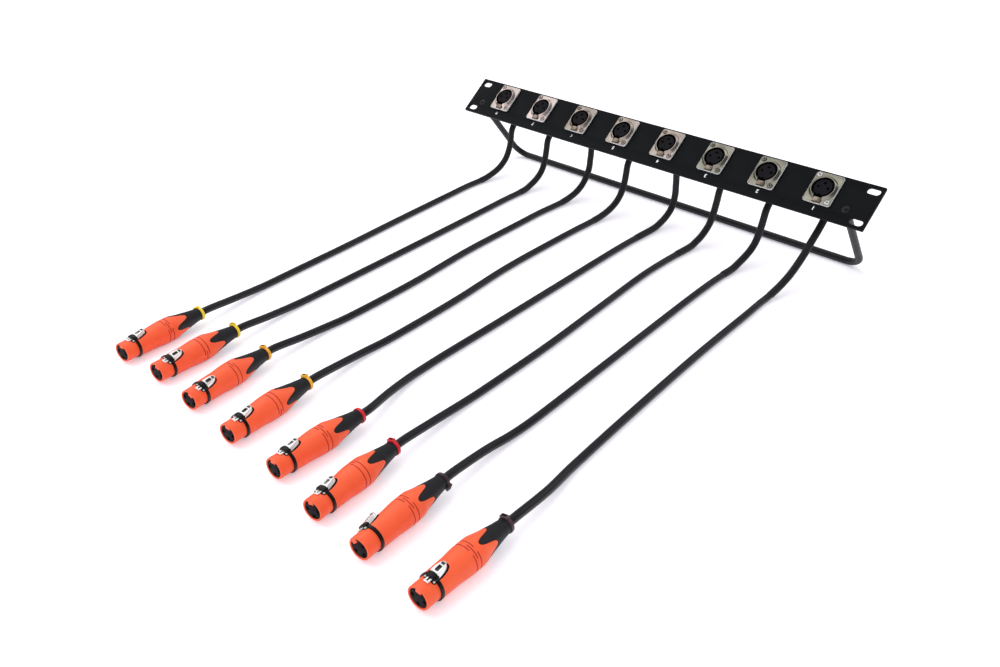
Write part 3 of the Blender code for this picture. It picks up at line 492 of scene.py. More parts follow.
def smooth_line(points, steps=16):
    """A smooth curve through the points: centripetal Catmull-Rom."""
    points = [Vector(p) for p in points]
    ends = [2 * points[0] - points[1]] + points + [2 * points[-1] - points[-2]]
    line = []
    for p0, p1, p2, p3 in zip(ends, ends[1:], ends[2:], ends[3:]):
        t1 = (p1 - p0).length ** 0.5
        t2 = t1 + (p2 - p1).length ** 0.5
        t3 = t2 + (p3 - p2).length ** 0.5
        for i in range(steps):
            t = t1 + (t2 - t1) * i / steps
            a1 = p0 * ((t1 - t) / t1) + p1 * (t / t1)
            a2 = p1 * ((t2 - t) / (t2 - t1)) + p2 * ((t - t1) / (t2 - t1))
            a3 = p2 * ((t3 - t) / (t3 - t2)) + p3 * ((t - t2) / (t3 - t2))
            b1 = a1 * ((t2 - t) / t2) + a2 * (t / t2)
            b2 = a2 * ((t3 - t) / (t3 - t1)) + a3 * ((t - t1) / (t3 - t1))
            line.append(b1 * ((t2 - t) / (t2 - t1)) + b2 * ((t - t1) / (t2 - t1)))
    return line + [points[-1]]


def direction(points, i):
    """The line's direction at one of its points."""
    return (points[min(i + 1, len(points) - 1)] - points[max(i - 1, 0)]).normalized()


def ring_round(point, first, second, radius, sides):
    """Points on a circle in the plane of two directions, from the first towards the second."""
    ring = []
    for k in range(sides):
        angle = math.tau * k / sides
        ring.append(tuple(point + first * (radius * math.cos(angle)) + second * (radius * math.sin(angle))))
    return ring


def tube(name, points, radii, sides, material):
    """A closed tube along the points, with a radius at each."""
    built = bmesh.new()
    up = Vector((1.0, 0.0, 0.0))
    rows = []
    for i, point in enumerate(points):
        ahead = direction(points, i)
        side = ahead.cross(up).normalized()
        up = side.cross(ahead).normalized()
        rows.append(ring_round(point, side, up, radii[i], sides))
    skin(built, rows)
    return finish_mesh(name, built, material)


# How far along each cable its sleeve reaches, a little beyond where the cable passes over the bar
SLEEVE_ENDS = [0.105, 0.100, 0.098, 0.104, 0.120, 0.110, 0.112, 0.108]


def cable_line(index):
    """The cable's centre line, from the back of its socket to the end of its plug's boot."""
    x = socket_x(index)
    plug = plug_matrix(index)
    start = PANEL @ Vector((x, SOCKET_HEIGHT, -TAIL))
    lead_in = PANEL @ Vector((x, SOCKET_HEIGHT, -TAIL - LEAD))
    end = plug @ Vector((0.0, 0.0, BOOT_END + PLUG_CLEARANCE))
    lead_out = plug @ Vector((0.0, 0.0, BOOT_END + PLUG_CLEARANCE + LEAD))
    route = [(x + px, py, pz) for px, py, pz in CABLE_ROUTES[index]]
    line = smooth_line([start, lead_in, *route, lead_out, end])
    return [Vector((p.x, p.y, max(p.z, JACKET_R + FLOOR_CLEARANCE))) for p in line]


def cable_jacket(number, line):
    curve = bpy.data.curves.new("cable_jacket_" + number, "CURVE")
    curve.dimensions = "3D"
    curve.bevel_depth = JACKET_R
    curve.bevel_resolution = 5
    curve.use_fill_caps = True
    spline = curve.splines.new("POLY")
    spline.points.add(len(line) - 1)
    for spot, point in zip(spline.points, line):
        spot.co = (*point, 1.0)
    spline.use_smooth = True
    curve.materials.append(jacket)
    return link("cable_jacket_" + number, curve)


def cable_sleeve(number, line, reach):
    """The heat-shrink sleeve over the cable's first stretch."""
    travelled = 0.0
    covered = [line[0]]
    for before, point in zip(line, line[1:]):
        travelled += (point - before).length
        covered.append(Vector((point.x, point.y, max(point.z, SLEEVE_R + FLOOR_CLEARANCE))))
        if travelled > reach:
            break
    radii = [SLEEVE_R] * len(covered)
    radii[0] = SLEEVE_R * 0.97
    radii[-1] = JACKET_R * 1.02
    return tube("cable_sleeve_" + number, covered, radii, 24, sleeve_black)


cables = []
for index in range(LINES):
    number = str(index + 1)
    line = cable_line(index)
    item = cable_jacket(number, line)
    settle(item, "panel", "cable_black", "cable_" + number)
    sleeve = cable_sleeve(number, line, SLEEVE_ENDS[index])
    settle(sleeve, "panel", "cable_black")
    cables.append((line, item, sleeve))

# Panel, bar and their screws


def rack_plate():
    outlines = [rounded(PANEL_HALF_LENGTH, PANEL_HALF_HEIGHT, 0.6 * MM, (0.0, PANEL_HALF_HEIGHT), 3)]
    for sx in (-1, 1):
        for sy in (-1, 1):
            centre = (sx * RACK_SLOT_X, PANEL_HALF_HEIGHT + sy * RACK_SLOT_Y)
            outlines.append(rounded(*mm(6.0, 3.25, 3.249), centre, 12))
    outlines += [round_hole(12.2 * MM, (socket_x(k), SOCKET_HEIGHT)) for k in range(LINES)]
    outlines += [round_hole(2.15 * MM, (BAR_MIDDLE_X + side * BAR_ARM_X, BAR_HEIGHT)) for side in (-1, 1)]
    plate_item = plate("rack_plate", outlines, -PANEL_THICKNESS, 0.0, 0.25 * MM, panel_paint, PANEL)
    # The countersunk mouths for the bar's screws, lined near black: painted shade.
    tool = bmesh.new()
    for side in (-1, 1):
        spot = (BAR_MIDDLE_X + side * BAR_ARM_X, BAR_HEIGHT)
        profile = in_mm([(4.2, 0.5), (4.2, -0.2), (2.4, -2.15), (1.9, -2.6)])
        skin(tool, [circle(40, r, z, 0.0, spot) for r, z in profile])
    cut(plate_item, tool, pit_painted_shade)
    return plate_item


def bar_rod():
    """The round bar: an arm from each end of the panel, and a bend into the long stretch between them."""
    gap = 3.3 * MM
    path = []
    for side in (-1, 1):
        bend = []
        for i in range(17):
            angle = math.pi / 2 * i / 16
            x = side * (BAR_ARM_X - BAR_BEND_R * (1 - math.cos(angle)))
            bend.append((x, -(BAR_REACH - BAR_BEND_R * (1 - math.sin(angle)))))
        arm = [(side * BAR_ARM_X, -gap - 2 * MM * k * k) for k in range(6)]
        path += arm + bend if side < 0 else bend[::-1] + arm[::-1]
    points = []
    for x, z in path:
        share = (-z - gap) / (BAR_REACH - gap)
        points.append(PANEL @ Vector((BAR_MIDDLE_X + x - BAR_SKEW * share, BAR_HEIGHT, z)))
    level = PANEL.to_3x3() @ Vector((0.0, 1.0, 0.0))
    rows = []
    for i, point in enumerate(points):
        side = direction(points, i).cross(level).normalized()
        rows.append(ring_round(point, level, side, BAR_R, 32))
    built = bmesh.new()
    skin(built, rows)
    return finish_mesh("bar_rod", built, bar_paint)


def cross_cut(radius, width, low, high, turn=0.4):
    """The recess of a cross-head screw."""
    half = width / 2
    arm = [(radius, -half), (radius, half), (half, half)]
    rows = []
    for z in (low, high):
        row = []
        for quarter in range(4):
            for x, y in arm:
                angle = turn + math.pi / 2 * quarter
                ahead = x * math.cos(angle) - y * math.sin(angle)
                aside = x * math.sin(angle) + y * math.cos(angle)
                row.append((ahead, aside, z))
        rows.append(row)
    built = bmesh.new()
    skin(built, rows)
    return built


def bar_bolt(name, side):
    matrix = PANEL @ Matrix.Translation((BAR_MIDDLE_X + side * BAR_ARM_X, BAR_HEIGHT, 0.0))
    profile = [
        (1.0, -0.12), (3.7, -0.12), (3.98, -0.3), (3.9, -0.55), (2.2, -2.2), (1.99, -2.4), (1.99, -14.2),
        (1.0, -14.2),
    ]
    bolt = turned("bar_bolt_" + name, profile, 40, screw_black, matrix)
    # The cross recess is lined near black: painted shade.
    cut(bolt, cross_cut(*mm(2.2, 0.8, -1.6, 1.0)), pit_painted_shade)
    return bolt


settle(rack_plate(), "panel", "panel_black", "rack_panel")
settle(bar_rod(), "panel", "bar_black", "lacing_bar")
for name, side in (("left", -1), ("right", 1)):
    settle(bar_bolt(name, side), "panel", "screw_black", "bar_screw_" + name)

# Sockets, each in its own frame: Y runs up the panel, and Z out of its front

FLANGE_TOP = 2.3 * MM
COLLAR = [
    (11.9, 0.4), (12.5, 2.3), (12.35, 2.5), (10.85, 4.5), (10.65, 4.75), (10.4, 4.8), (10.05, 4.78),
    (9.85, 4.5), (9.8, 3.4), (9.5, -18.7), (9.8, -19.0), (11.3, -19.0), (11.6, -18.6), (11.6, -6.2),
    (11.45, -6.0), (11.45, -5.0), (11.6, -4.8), (11.6, 0.35),
]
SOCKET_INSERT = [
    (0.5, 4.42), (6.9, 4.42), (7.25, 4.5), (7.7, 4.5), (8.0, 4.2), (8.0, -14.0), (9.2, -14.0), (9.2, -19.0),
    (8.6, -19.5), (6.6, -19.5), (6.0, -20.0), (5.9, -22.7), (5.6, -23.0), (0.5, -23.0),
]
PAN_HEAD = [(0.3, 0.92), (1.2, 0.86), (1.9, 0.66), (2.2, 0.4), (2.3, 0.1), (2.3, -0.6), (0.6, -0.6)]
SOCKET_SCREWS = [mm(-9.5, 12.0), mm(9.5, -12.0)]
SOCKET_CONTACTS = in_mm([(-4.6, 0.0), (0.0, 4.6), (4.6, 0.0)])
PLUG_CONTACTS = in_mm([(-4.6, 0.0), (0.0, -4.6), (4.6, 0.0)])
# Which nickel tone each socket takes: a painted reflection.
REFLECTION_TONE_OF_SOCKET = (0, 0, 1, 1, 1, 2, 2, 2)
NUMERAL_DROP = -19.2 * MM


def pan_screw(centre, matrix, material, turn):
    base = FLANGE_TOP / MM
    screw = turned("screw", [(r, base + z) for r, z in PAN_HEAD], 28, material, matrix, centre=centre)
    tool = cross_cut(1.7 * MM, 0.7 * MM, FLANGE_TOP + 0.45 * MM, FLANGE_TOP + 2.0 * MM, turn)
    bmesh.ops.translate(tool, verts=tool.verts, vec=(*centre, 0.0))
    # The cross recess is lined near black: painted shade.
    cut(screw, tool, pit_painted_shade)
    return screw


def contact_tubes(spots, front, rear, matrix):
    profile = [(0.75, front), (1.15, front), (1.15, rear), (0.75, rear)]
    return [turned("contact", profile, 20, contact_gold, matrix, True, spot) for spot in spots]


def tab_pocket():
    tool = bmesh.new()
    box(tool, mm(-4.1, -14.7, 0.2), mm(4.1, -8.8, 6.0))
    return tool


def socket_flange(number, matrix, nickel):
    outlines = [rounded(*mm(13.0, 15.5, 2.5)), round_hole(11.9 * MM, (0.0, 0.0), 64)]
    flange = plate("socket_body_" + number, outlines, 0.3 * MM, FLANGE_TOP, 0.7 * MM, nickel, matrix)
    # The tab's pocket in the flange is lined brown: painted shade and painted reflection.
    cut(flange, tab_pocket(), recess_shade_and_reflection_brown)
    # The rounded outer edges take the bright white: a painted highlight.
    flange.data.materials.append(steel_and_painted_highlight)
    for face in flange.data.polygons:
        x, y, z = [v / MM for v in face.center]
        if (abs(x) > 12.2 or abs(y) > 14.7) and face.normal.z < 0.95 and z > 0.5:
            face.material_index = len(flange.data.materials) - 1
    # A shallow round pocket under each screw's head, lined brown: painted shade round the screw.
    tool = bmesh.new()
    for spot in SOCKET_SCREWS:
        skin(tool, [circle(32, 2.6 * MM, z * MM, 0.0, spot) for z in (1.75, 3.0)])
    cut(flange, tool, recess_shade_and_reflection_brown)
    return flange


def socket_shell(index, number, matrix):
    # The socket's nickel in its painted reflection tone.
    nickel = nickel_reflection_copies[REFLECTION_TONE_OF_SOCKET[index]]
    flange = socket_flange(number, matrix, nickel)
    barrel = turned("barrel", COLLAR, 72, nickel, matrix, joined=True)
    # The tab's pocket in the collar is lined brown: painted shade and painted reflection.
    cut(barrel, tab_pocket(), recess_shade_and_reflection_brown)
    # The floor of the push tab's recess, deep enough for the whole press, and the channel for the tab's stem,
    # both brown: painted shade with a painted reflection of the orange plugs.
    built = bmesh.new()
    box(built, mm(-4.2, -14.8, 0.05), mm(4.2, -9.6, 0.35))
    recess = finish_mesh("recess", built, recess_shade_and_reflection_brown, matrix)
    for item in (barrel, recess):
        tool = bmesh.new()
        box(tool, mm(-1.75, -11.3, -11.5), mm(1.75, -9.1, 6.0))
        cut(item, tool, recess_shade_and_reflection_brown)
    # The last socket's screws take the bright white, a painted glint; the others take their socket's nickel.
    screw_metal_and_glint = steel_and_painted_highlight if index == LINES - 1 else nickel
    screws = []
    for side, spot in zip((-1, 1), SOCKET_SCREWS):
        screws.append(pan_screw(spot, matrix, screw_metal_and_glint, 0.5 + 0.9 * index + side))
    return join(flange, barrel, recess, *screws)


def socket_insert(number, matrix):
    insert = turned("socket_insert_" + number, SOCKET_INSERT, 64, insert_black, matrix)
    tool = bmesh.new()
    hole = in_mm([(1.35, -6.0), (1.35, 4.1), (1.75, 4.6), (1.75, 5.5)])
    for spot in SOCKET_CONTACTS:
        skin(tool, [circle(24, r, z, 0.0, spot) for r, z in hole])
    box(tool, mm(-1.3, -9.0, -7.0), mm(1.3, -6.4, 5.5))
    # The contact holes and the slot are lined near black: painted shade.
    cut(insert, tool, pit_painted_shade)
    return join(insert, *contact_tubes(SOCKET_CONTACTS, 1.2, -6.0, matrix))


def push_tab(number, matrix):
    rows = []
    for z, grow in ((1.9, 0.0), (2.6, 0.0), (3.1, -0.1), (3.3, -0.4)):
        half = 3.7 + grow
        low = -14.3 - grow
        high = -9.7 + grow
        rear = z if z < 3 else z + 0.5
        rows.append(in_mm([(-half, low, z), (half, low, z), (half, high, rear), (-half, high, rear)]))
    built = bmesh.new()
    skin(built, rows)
    box(built, mm(-1.6, -11.15, -9.6), mm(1.6, -9.9, 3.2))
    return finish_mesh("push_tab_" + number, built, tab_metal, matrix)


def numeral(index, number, matrix):
    """The painted numeral below a socket, which reads from the other side of the panel."""
    text = bpy.data.curves.new("numeral_" + number, "FONT")
    text.body = str(LINES - index)
    text.size = 5.0 * MM
    text.offset = 0.14 * MM
    text.align_x = "CENTER"
    text.align_y = "CENTER"
    text.extrude = 0.03 * MM
    text.materials.append(print_white)
    written = link("written", text)
    mesh = mesh_of(written)
    bpy.data.objects.remove(written, do_unlink=True)
    place = Matrix.Translation((0.0, NUMERAL_DROP, 0.03 * MM)) @ Matrix.Rotation(math.pi, 4, "Z")
    item = link("numeral_" + number, mesh, matrix @ place)
    bpy.context.view_layer.update()
    return item


for index in range(LINES):
    number = str(index + 1)
    matrix = PANEL @ Matrix.Translation((socket_x(index), SOCKET_HEIGHT, 0.0))
    settle(socket_shell(index, number, matrix), "panel", "socket_nickel", "jack_shell_" + number)
    settle(socket_insert(number, matrix), "panel", "insert_black", "jack_insert_" + number)
    settle(push_tab(number, matrix), "jack_latch_" + number, "tab_steel", "jack_latch_" + number)
    settle(numeral(index, number, matrix), "panel", "panel_black")

# Line plugs, each in its own frame, in millimetres: Z runs back from its front face, and Y to its latch

# The body's outline with its boot: distance behind the front face, and radius
BODY = [
    (12.6, 8.7), (13.2, 8.75), (16.0, 8.8), (20.0, 8.9), (24.0, 8.95), (27.0, 9.04), (29.0, 9.2),
    (31.0, 9.42), (32.5, 9.58), (34.0, 9.7), (36.0, 9.84), (37.5, 9.9), (47.0, 9.9), (48.2, 9.74),
    (49.2, 9.52), (50.2, 9.28), (52.0, 8.88), (54.0, 8.46), (56.0, 8.06), (58.0, 7.74), (60.0, 7.44),
    (62.0, 7.08), (64.0, 6.72), (66.0, 6.38), (68.0, 6.08), (70.0, 5.8), (72.0, 5.55), (74.0, 5.3),
    (76.0, 5.1), (78.0, 5.0),
]
# The nose and the shell's front rim as radii and places, from inside to outside
NOSE = (
    (6.9, 43.0), (6.6, 40.0), (6.6, 0.3), (6.64, 0.1), (6.75, 0.0), (7.6, 0.0), (7.78, 0.07), (7.87, 0.22),
    (7.9, 0.5), (7.9, 12.5), (8.2, 12.6),
)
PLUG_SIDES = 120
# Each groove: its place, and whether it runs all round but for two breaks, or shows only across the breaks
GROOVES = ((38.4, True), (40.35, False), (42.3, True))
GROOVE_SECTION = ((-0.42, 0.0), (-0.3, 0.16), (0.0, 0.26), (0.3, 0.16), (0.42, 0.0))
GROOVE_BREAKS = (-49.0, -106.0, 3.0, -114.0, -20.0, 34.0, -21.0, -32.0)
BREAK_REACH = 11.5
DASH_REACH = 30.0
# The shell's wavy rear edge
WAVE_MIDDLE = 53.3
WAVE_SIZE = 6.7
WAVE_COUNT = 4
WAVE_LEAN = 0.155
WAVE_ROUND = 1.2
WAVE_GAP = 0.12
SHELL_STRAIGHT_END = 44.2
# Each tie: its name, its two tones, where its head is, counted from straight up, and the head's kind
TIES = [
    ("lemon", (255, 226, 50), (248, 212, 36), 26.0, "flat"),
    ("lemon_two", (255, 222, 42), (246, 206, 30), 14.0, "open"),
    ("amber", (255, 186, 52), (244, 168, 34), 14.0, "open"),
    ("amber_two", (255, 194, 54), (244, 172, 34), 14.0, "open"),
    ("red", (226, 30, 42), (204, 18, 30), 150.0, "flat"),
    ("red_two", (228, 22, 44), (204, 12, 32), 12.0, "open"),
    ("brown", (52, 32, 36), (66, 42, 46), -112.0, "open"),
    ("maroon", (62, 38, 48), (84, 56, 66), 12.0, "open"),
]
TIE_BAND = [
    (4.6, 74.9), (5.5, 74.8), (5.75, 75.0), (5.85, 75.5), (5.85, 76.6), (5.75, 77.1), (5.5, 77.3),
    (4.6, 77.2),
]
# The plugs whose latch window's ground is pale, a painted reflection; on the others it is olive, a painted
# shade
WINDOWS_WITH_PAINTED_REFLECTION = (0, 4, 5)


def body_radius(z):
    """The outline's radius at a place along the plug."""
    for (z0, r0), (z1, r1) in zip(BODY, BODY[1:]):
        if z <= z1:
            return r0 + (r1 - r0) * max(0.0, z - z0) / (z1 - z0)
    return BODY[-1][1]


def mm_row(sides, radius, height, turn):
    return in_mm(circle(sides, radius, height, turn))


def wave(angle, tip):
    """The rear edge's wave, from -1 in a valley to 1 at a tip."""
    turn = WAVE_COUNT * (angle - tip)
    level = math.cos(turn - WAVE_LEAN * math.sin(turn))
    return math.sin(WAVE_ROUND * level) / math.sin(WAVE_ROUND)


def in_break(angle, middle, reach):
    """Whether the angle is near the break or near the one opposite."""
    away = (angle - middle + math.pi / 2) % math.pi - math.pi / 2
    return abs(away) < math.radians(reach)


def edge_of(tip):
    def edge(angle):
        return WAVE_MIDDLE + WAVE_SIZE * wave(angle, tip)

    return edge


def groove_radius(z, sunk, broken, gap):
    def radius(angle):
        whole = not in_break(angle, gap, BREAK_REACH) if broken else in_break(angle, gap, DASH_REACH)
        return body_radius(z) - (sunk if whole else 0.0)

    return radius


def share_of(start, end, share):
    """A place part of the way between two that depend on the angle."""
    return lambda angle: start(angle) + (end(angle) - start(angle)) * share


def on_body(height, inset=0.0):
    """The body's radius at a place that depends on the angle, less an inset."""
    return lambda angle: body_radius(height(angle)) - inset


def plug_shell(number, plug, tip, gap, edge):
    rings = list(NOSE)
    rings += [(body_radius(z), z) for z, _ in BODY if z < GROOVES[0][0] - 0.4]
    for middle, broken in GROOVES:
        for offset, sunk in GROOVE_SECTION:
            z = middle + offset
            rings.append((groove_radius(z, sunk, broken, gap), z))
    rings.append((body_radius(43.6), 43.6))
    for k in range(1, 15):
        height = share_of(lambda angle: SHELL_STRAIGHT_END, lambda angle: edge(angle) - 0.25, k / 14)
        rings.append((on_body(height), height))
    rings.append((on_body(edge, 0.06), lambda angle: edge(angle) - 0.08))
    rings.append((on_body(edge, 0.25), edge))
    rings.append((on_body(edge, 0.9), edge))
    rings.append((7.2, 44.4))
    built = bmesh.new()
    skin(built, [mm_row(PLUG_SIDES, radius, height, tip) for radius, height in rings], joined=True)
    # The tongue that keys the plug, inside the nose.
    box(built, mm(-2.1, 3.8, 0.15), mm(2.1, 7.0, 11.0), 0.15 * MM, 1)
    shell = finish_mesh("plug_body_" + number, built, orange, plug)
    # The faces inside the grooves take the darker red: painted shade.
    shell.data.materials.append(groove_painted_shade)
    for face in shell.data.polygons:
        x, y, z = [v / MM for v in face.center]
        near = min(abs(z - middle) for middle, _ in GROOVES)
        if near < 0.38 and 9.0 < math.hypot(x, y) < body_radius(z) - 0.07:
            face.material_index = 1
    # The latch's pocket is lined near black: painted shade.
    cut(shell, latch_pocket(), pit_painted_shade)
    return shell


def slab(built, stations, low, high):
    """A closed shape between two heights in Y whose half width changes along Z."""
    rows = []
    for z, half in stations:
        rows.append(in_mm([(-half, low, z), (half, low, z), (half, high, z), (-half, high, z)]))
    skin(built, rows)


def latch_pocket():
    tool = bmesh.new()
    stations = (
        (12.4, 4.5), (15.0, 4.5), (18.0, 4.15), (20.5, 3.55), (22.2, 2.8), (23.1, 1.9), (23.5, 0.8),
    )
    slab(tool, stations, 7.15, 11.0)
    return tool


def plug_latch(number, plug, behind):
    """The sprung lever: its window and grip show behind the ring, its hook and two prongs in front."""
    stations = [
        (12.0, 3.4, 9.2), (13.2, 3.5, 10.1), (14.0, 3.5, 10.55), (16.0, 3.25, 10.95), (18.0, 2.9, 11.3),
        (19.6, 2.5, 11.55), (20.8, 2.05, 11.65), (21.5, 1.6, 11.65), (21.95, 1.1, 11.55), (22.15, 0.6, 11.4),
    ]
    built = bmesh.new()
    rows = []
    for z, half, top in stations:
        low = 7.8 + max(0.0, z - 13.0) * 0.14
        side = (
            (half + 0.12, low), (half - 0.02, low + 0.3), (half - 0.4, top - 0.3), (half - 0.6, top - 0.04),
            (half - 0.75, top),
        )
        under = ((half - 0.35, low), (half - 0.85, top - 0.5))
        right = [(max(x, 0.2), y) for x, y in side]
        inner = [(max(x, 0.1), y) for x, y in under]
        ring = [(-x, y) for x, y in right] + right[::-1] + inner + [(-x, y) for x, y in inner[::-1]]
        rows.append([mm(x, y, z) for x, y in ring])
    skin(built, rows)
    lever = finish_mesh("plug_catch_" + number, built, steel_and_painted_highlight, plug)
    tool = bmesh.new()
    slab(tool, ((14.1, 0.9), (14.7, 1.35), (18.1, 1.3), (18.5, 1.1)), 8.9, 12.5)
    cut(lever, tool)
    # The window's ground, olive as painted shade on most plugs and pale as a painted reflection on three, the
    # grip in dark grey as a painted reflection, the hook with its two legs and a thin black sheet between
    # them as painted shade, and the two prongs beside it.
    parts = []
    shapes = (
        ((-2.0, 9.0, 13.4), (2.0, 10.0, 19.2), 0.1, behind),
        ((-1.2, 10.9, 19.2), (1.2, 11.95, 21.0), 0.25, grip_painted_reflection),
        ((-1.7, 8.0, 5.8), (1.7, 8.8, 7.1), 0.22, steel_and_painted_highlight),
        ((-1.7, 8.0, 6.4), (-0.5, 8.8, 12.4), 0.18, steel_and_painted_highlight),
        ((0.5, 8.0, 6.4), (1.7, 8.8, 12.4), 0.18, steel_and_painted_highlight),
        # A thin black sheet between the hook's legs: painted shade.
        ((-1.0, 7.95, 6.4), (1.0, 8.15, 12.4), 0.05, pit_painted_shade),
        ((-3.75, 7.0, 8.8), (-2.7, 8.25, 12.4), 0.25, steel_and_painted_highlight),
        ((2.7, 7.0, 8.8), (3.75, 8.25, 12.4), 0.25, steel_and_painted_highlight),
    )
    for low, high, bevel, material in shapes:
        built = bmesh.new()
        box(built, mm(*low), mm(*high), bevel * MM)
        parts.append(finish_mesh("part", built, material, plug))
    return join(lever, *parts)


def bridge(angle):
    """How much of the bridge the ring has at an angle, from 0 to 1."""
    away = abs((angle - math.pi / 2 + math.pi) % math.tau - math.pi) / math.radians(27.0)
    return max(0.0, 1.0 - away ** 7)


def bridged(r, z, middle):
    """A point of the ring's section, as a radius and a place that grow at the bridge."""

    def radius(angle):
        return r + 1.25 * bridge(angle) * (r > 8.3)

    def height(angle):
        return z + (z - middle) * 0.8 * bridge(angle)

    return radius, height


def nose_ring(number, plug):
    """The rubber ring that backs the nose, the bridge by which it holds the latch, and a pad below this."""
    section = [
        (7.85, 10.3), (8.7, 10.25), (8.95, 10.4), (9.05, 10.8), (9.05, 11.9), (8.95, 12.35), (8.7, 12.55),
        (7.85, 12.55),
    ]
    rows = []
    for r, z in section:
        radius, height = bridged(r, z, 11.4)
        rows.append(mm_row(PLUG_SIDES, radius, height, 0.0))
    built = bmesh.new()
    skin(built, rows, joined=True)
    ring = finish_mesh("plug_ring_" + number, built, ring_black, plug)
    rows = []
    for z, reach in ((8.1, 24.0), (8.4, 29.0), (8.9, 32.0), (10.5, 32.0)):
        angles = [math.radians(90.0 - reach + reach * k / 6) for k in range(13)]
        outer = [mm(8.1 * math.cos(angle), 8.1 * math.sin(angle), z) for angle in angles]
        inner = [mm(7.6 * math.cos(angle), 7.6 * math.sin(angle), z) for angle in angles]
        rows.append(outer + inner[::-1])
    built = bmesh.new()
    skin(built, rows)
    return join(ring, finish_mesh("pad", built, ring_black, plug))


def plug_insert(number, plug, tip):
    """The black insert with its three contact holes and the key's slot."""
    profile = [
        (0.4, 0.3), (6.0, 0.3), (6.3, 0.5), (6.3, 2.4), (6.5, 2.6), (6.5, 42.6), (6.0, 43.2), (5.5, 43.6),
    ]
    built = bmesh.new()
    skin(built, [mm_row(PLUG_SIDES, r, z, tip) for r, z in profile])
    insert = finish_mesh("plug_insert_" + number, built, insert_black, plug)
    tool = bmesh.new()
    hole = in_mm([(1.6, -0.5), (1.6, 0.6), (1.35, 0.95), (1.35, 10.6)])
    for spot in PLUG_CONTACTS:
        skin(tool, [circle(24, r, z, 0.0, spot) for r, z in hole])
    # The contact holes are lined near black: painted shade.
    cut(insert, tool, pit_painted_shade)
    tool = bmesh.new()
    box(tool, mm(-3.0, 3.3, -1.0), mm(3.0, 8.5, 11.3))
    # The key's slot is lined near black: painted shade.
    cut(insert, tool, pit_painted_shade)
    return join(insert, *contact_tubes(PLUG_CONTACTS, 2.6, 10.0, plug))


def plug_boot(number, plug, tip, edge):
    """The rubber boot, whose front edge follows the shell's wave."""

    def start(angle):
        return edge(angle) + WAVE_GAP

    def shoulder(angle):
        return start(angle) + 0.15

    rings = [(on_body(start, 1.2), start), (on_body(start, 0.34), start), (on_body(start, 0.16), shoulder)]
    for k in range(1, 11):
        height = share_of(shoulder, lambda angle: 66.0, k / 10)
        rings.append((on_body(height, 0.1), height))
    rings += [(body_radius(z) - 0.08, z) for z in (68.0, 70.0, 72.0, 74.0, 76.0, 77.6)]
    rings += [(4.7, 77.9), (3.5, 78.0)]
    built = bmesh.new()
    skin(built, [mm_row(PLUG_SIDES, radius, height, tip) for radius, height in rings])
    return finish_mesh("plug_boot_" + number, built, rubber, plug)


def tie(number, plug, facts, latch_angle):
    """The coloured tie round the boot's end. An open head's hole is lined with a darker copy of the tie's
    colour: painted shade.
    """
    name, first, second, angle, kind = facts
    plastic = surface(
        "tie_" + name, rgb(*first), rgb(*second), (0.3, 0.45), scale=220.0, bump=0.15, bump_scale=900.0,
    )
    # A darker copy of the tie's colour for the open head's hole: painted shade.
    inside = [rgb(*[value * share for value in first]) for share in (0.42, 0.34)]
    dark = surface("tie_hole_shade_" + name, *inside, (0.5, 0.6), bump=0.1)
    band = turned("plug_tie_" + number, TIE_BAND, 72, plastic, plug, joined=True)
    wide, tall, front, rear = (2.6, 7.0, 74.1, 77.5) if kind == "open" else (2.3, 6.3, 73.4, 77.3)
    built = bmesh.new()
    box(built, mm(-wide, 5.2, front), mm(wide, tall, rear), 0.25 * MM)
    head = finish_mesh("head", built, plastic, plug)
    if kind == "open":
        tool = bmesh.new()
        box(tool, mm(-1.8, 6.1, front + 0.9), mm(1.8, 9.0, rear - 0.9))
        cut(head, tool, dark)
    head.data.transform(Matrix.Rotation(math.radians(latch_angle - angle), 4, "Z"))
    return join(band, head)


for index, (_, _, _, latch_angle, valley_angle) in enumerate(PLUG_POSES):
    number = str(index + 1)
    plug = plug_matrix(index)
    tip = math.pi / 2 - math.radians(valley_angle - latch_angle) - math.pi / WAVE_COUNT
    facing = math.pi / 2 - math.radians(GROOVE_BREAKS[index] - latch_angle)
    edge = edge_of(tip)
    shell = plug_shell(number, plug, tip, facing, edge)
    settle(shell, "panel", "plug_orange", "plug_shell_" + number)
    insert = plug_insert(number, plug, tip)
    boot = plug_boot(number, plug, tip, edge)
    settle(insert, "panel", "boot_black", "plug_core_" + number)
    settle(boot, "panel", "boot_black")
    ring = nose_ring(number, plug)
    settle(ring, "panel", "boot_black")
    catch = plug_latch(number, plug, window_painted_reflection if index in WINDOWS_WITH_PAINTED_REFLECTION else window_painted_shade)
    settle(catch, "plug_latch_" + number, "latch_steel", "plug_latch_" + number)
    band = tie(number, plug, TIES[index], latch_angle)
    settle(band, "panel", "boot_black")
    line, cable, sleeve = cables[index]

# Floor, lights and camera


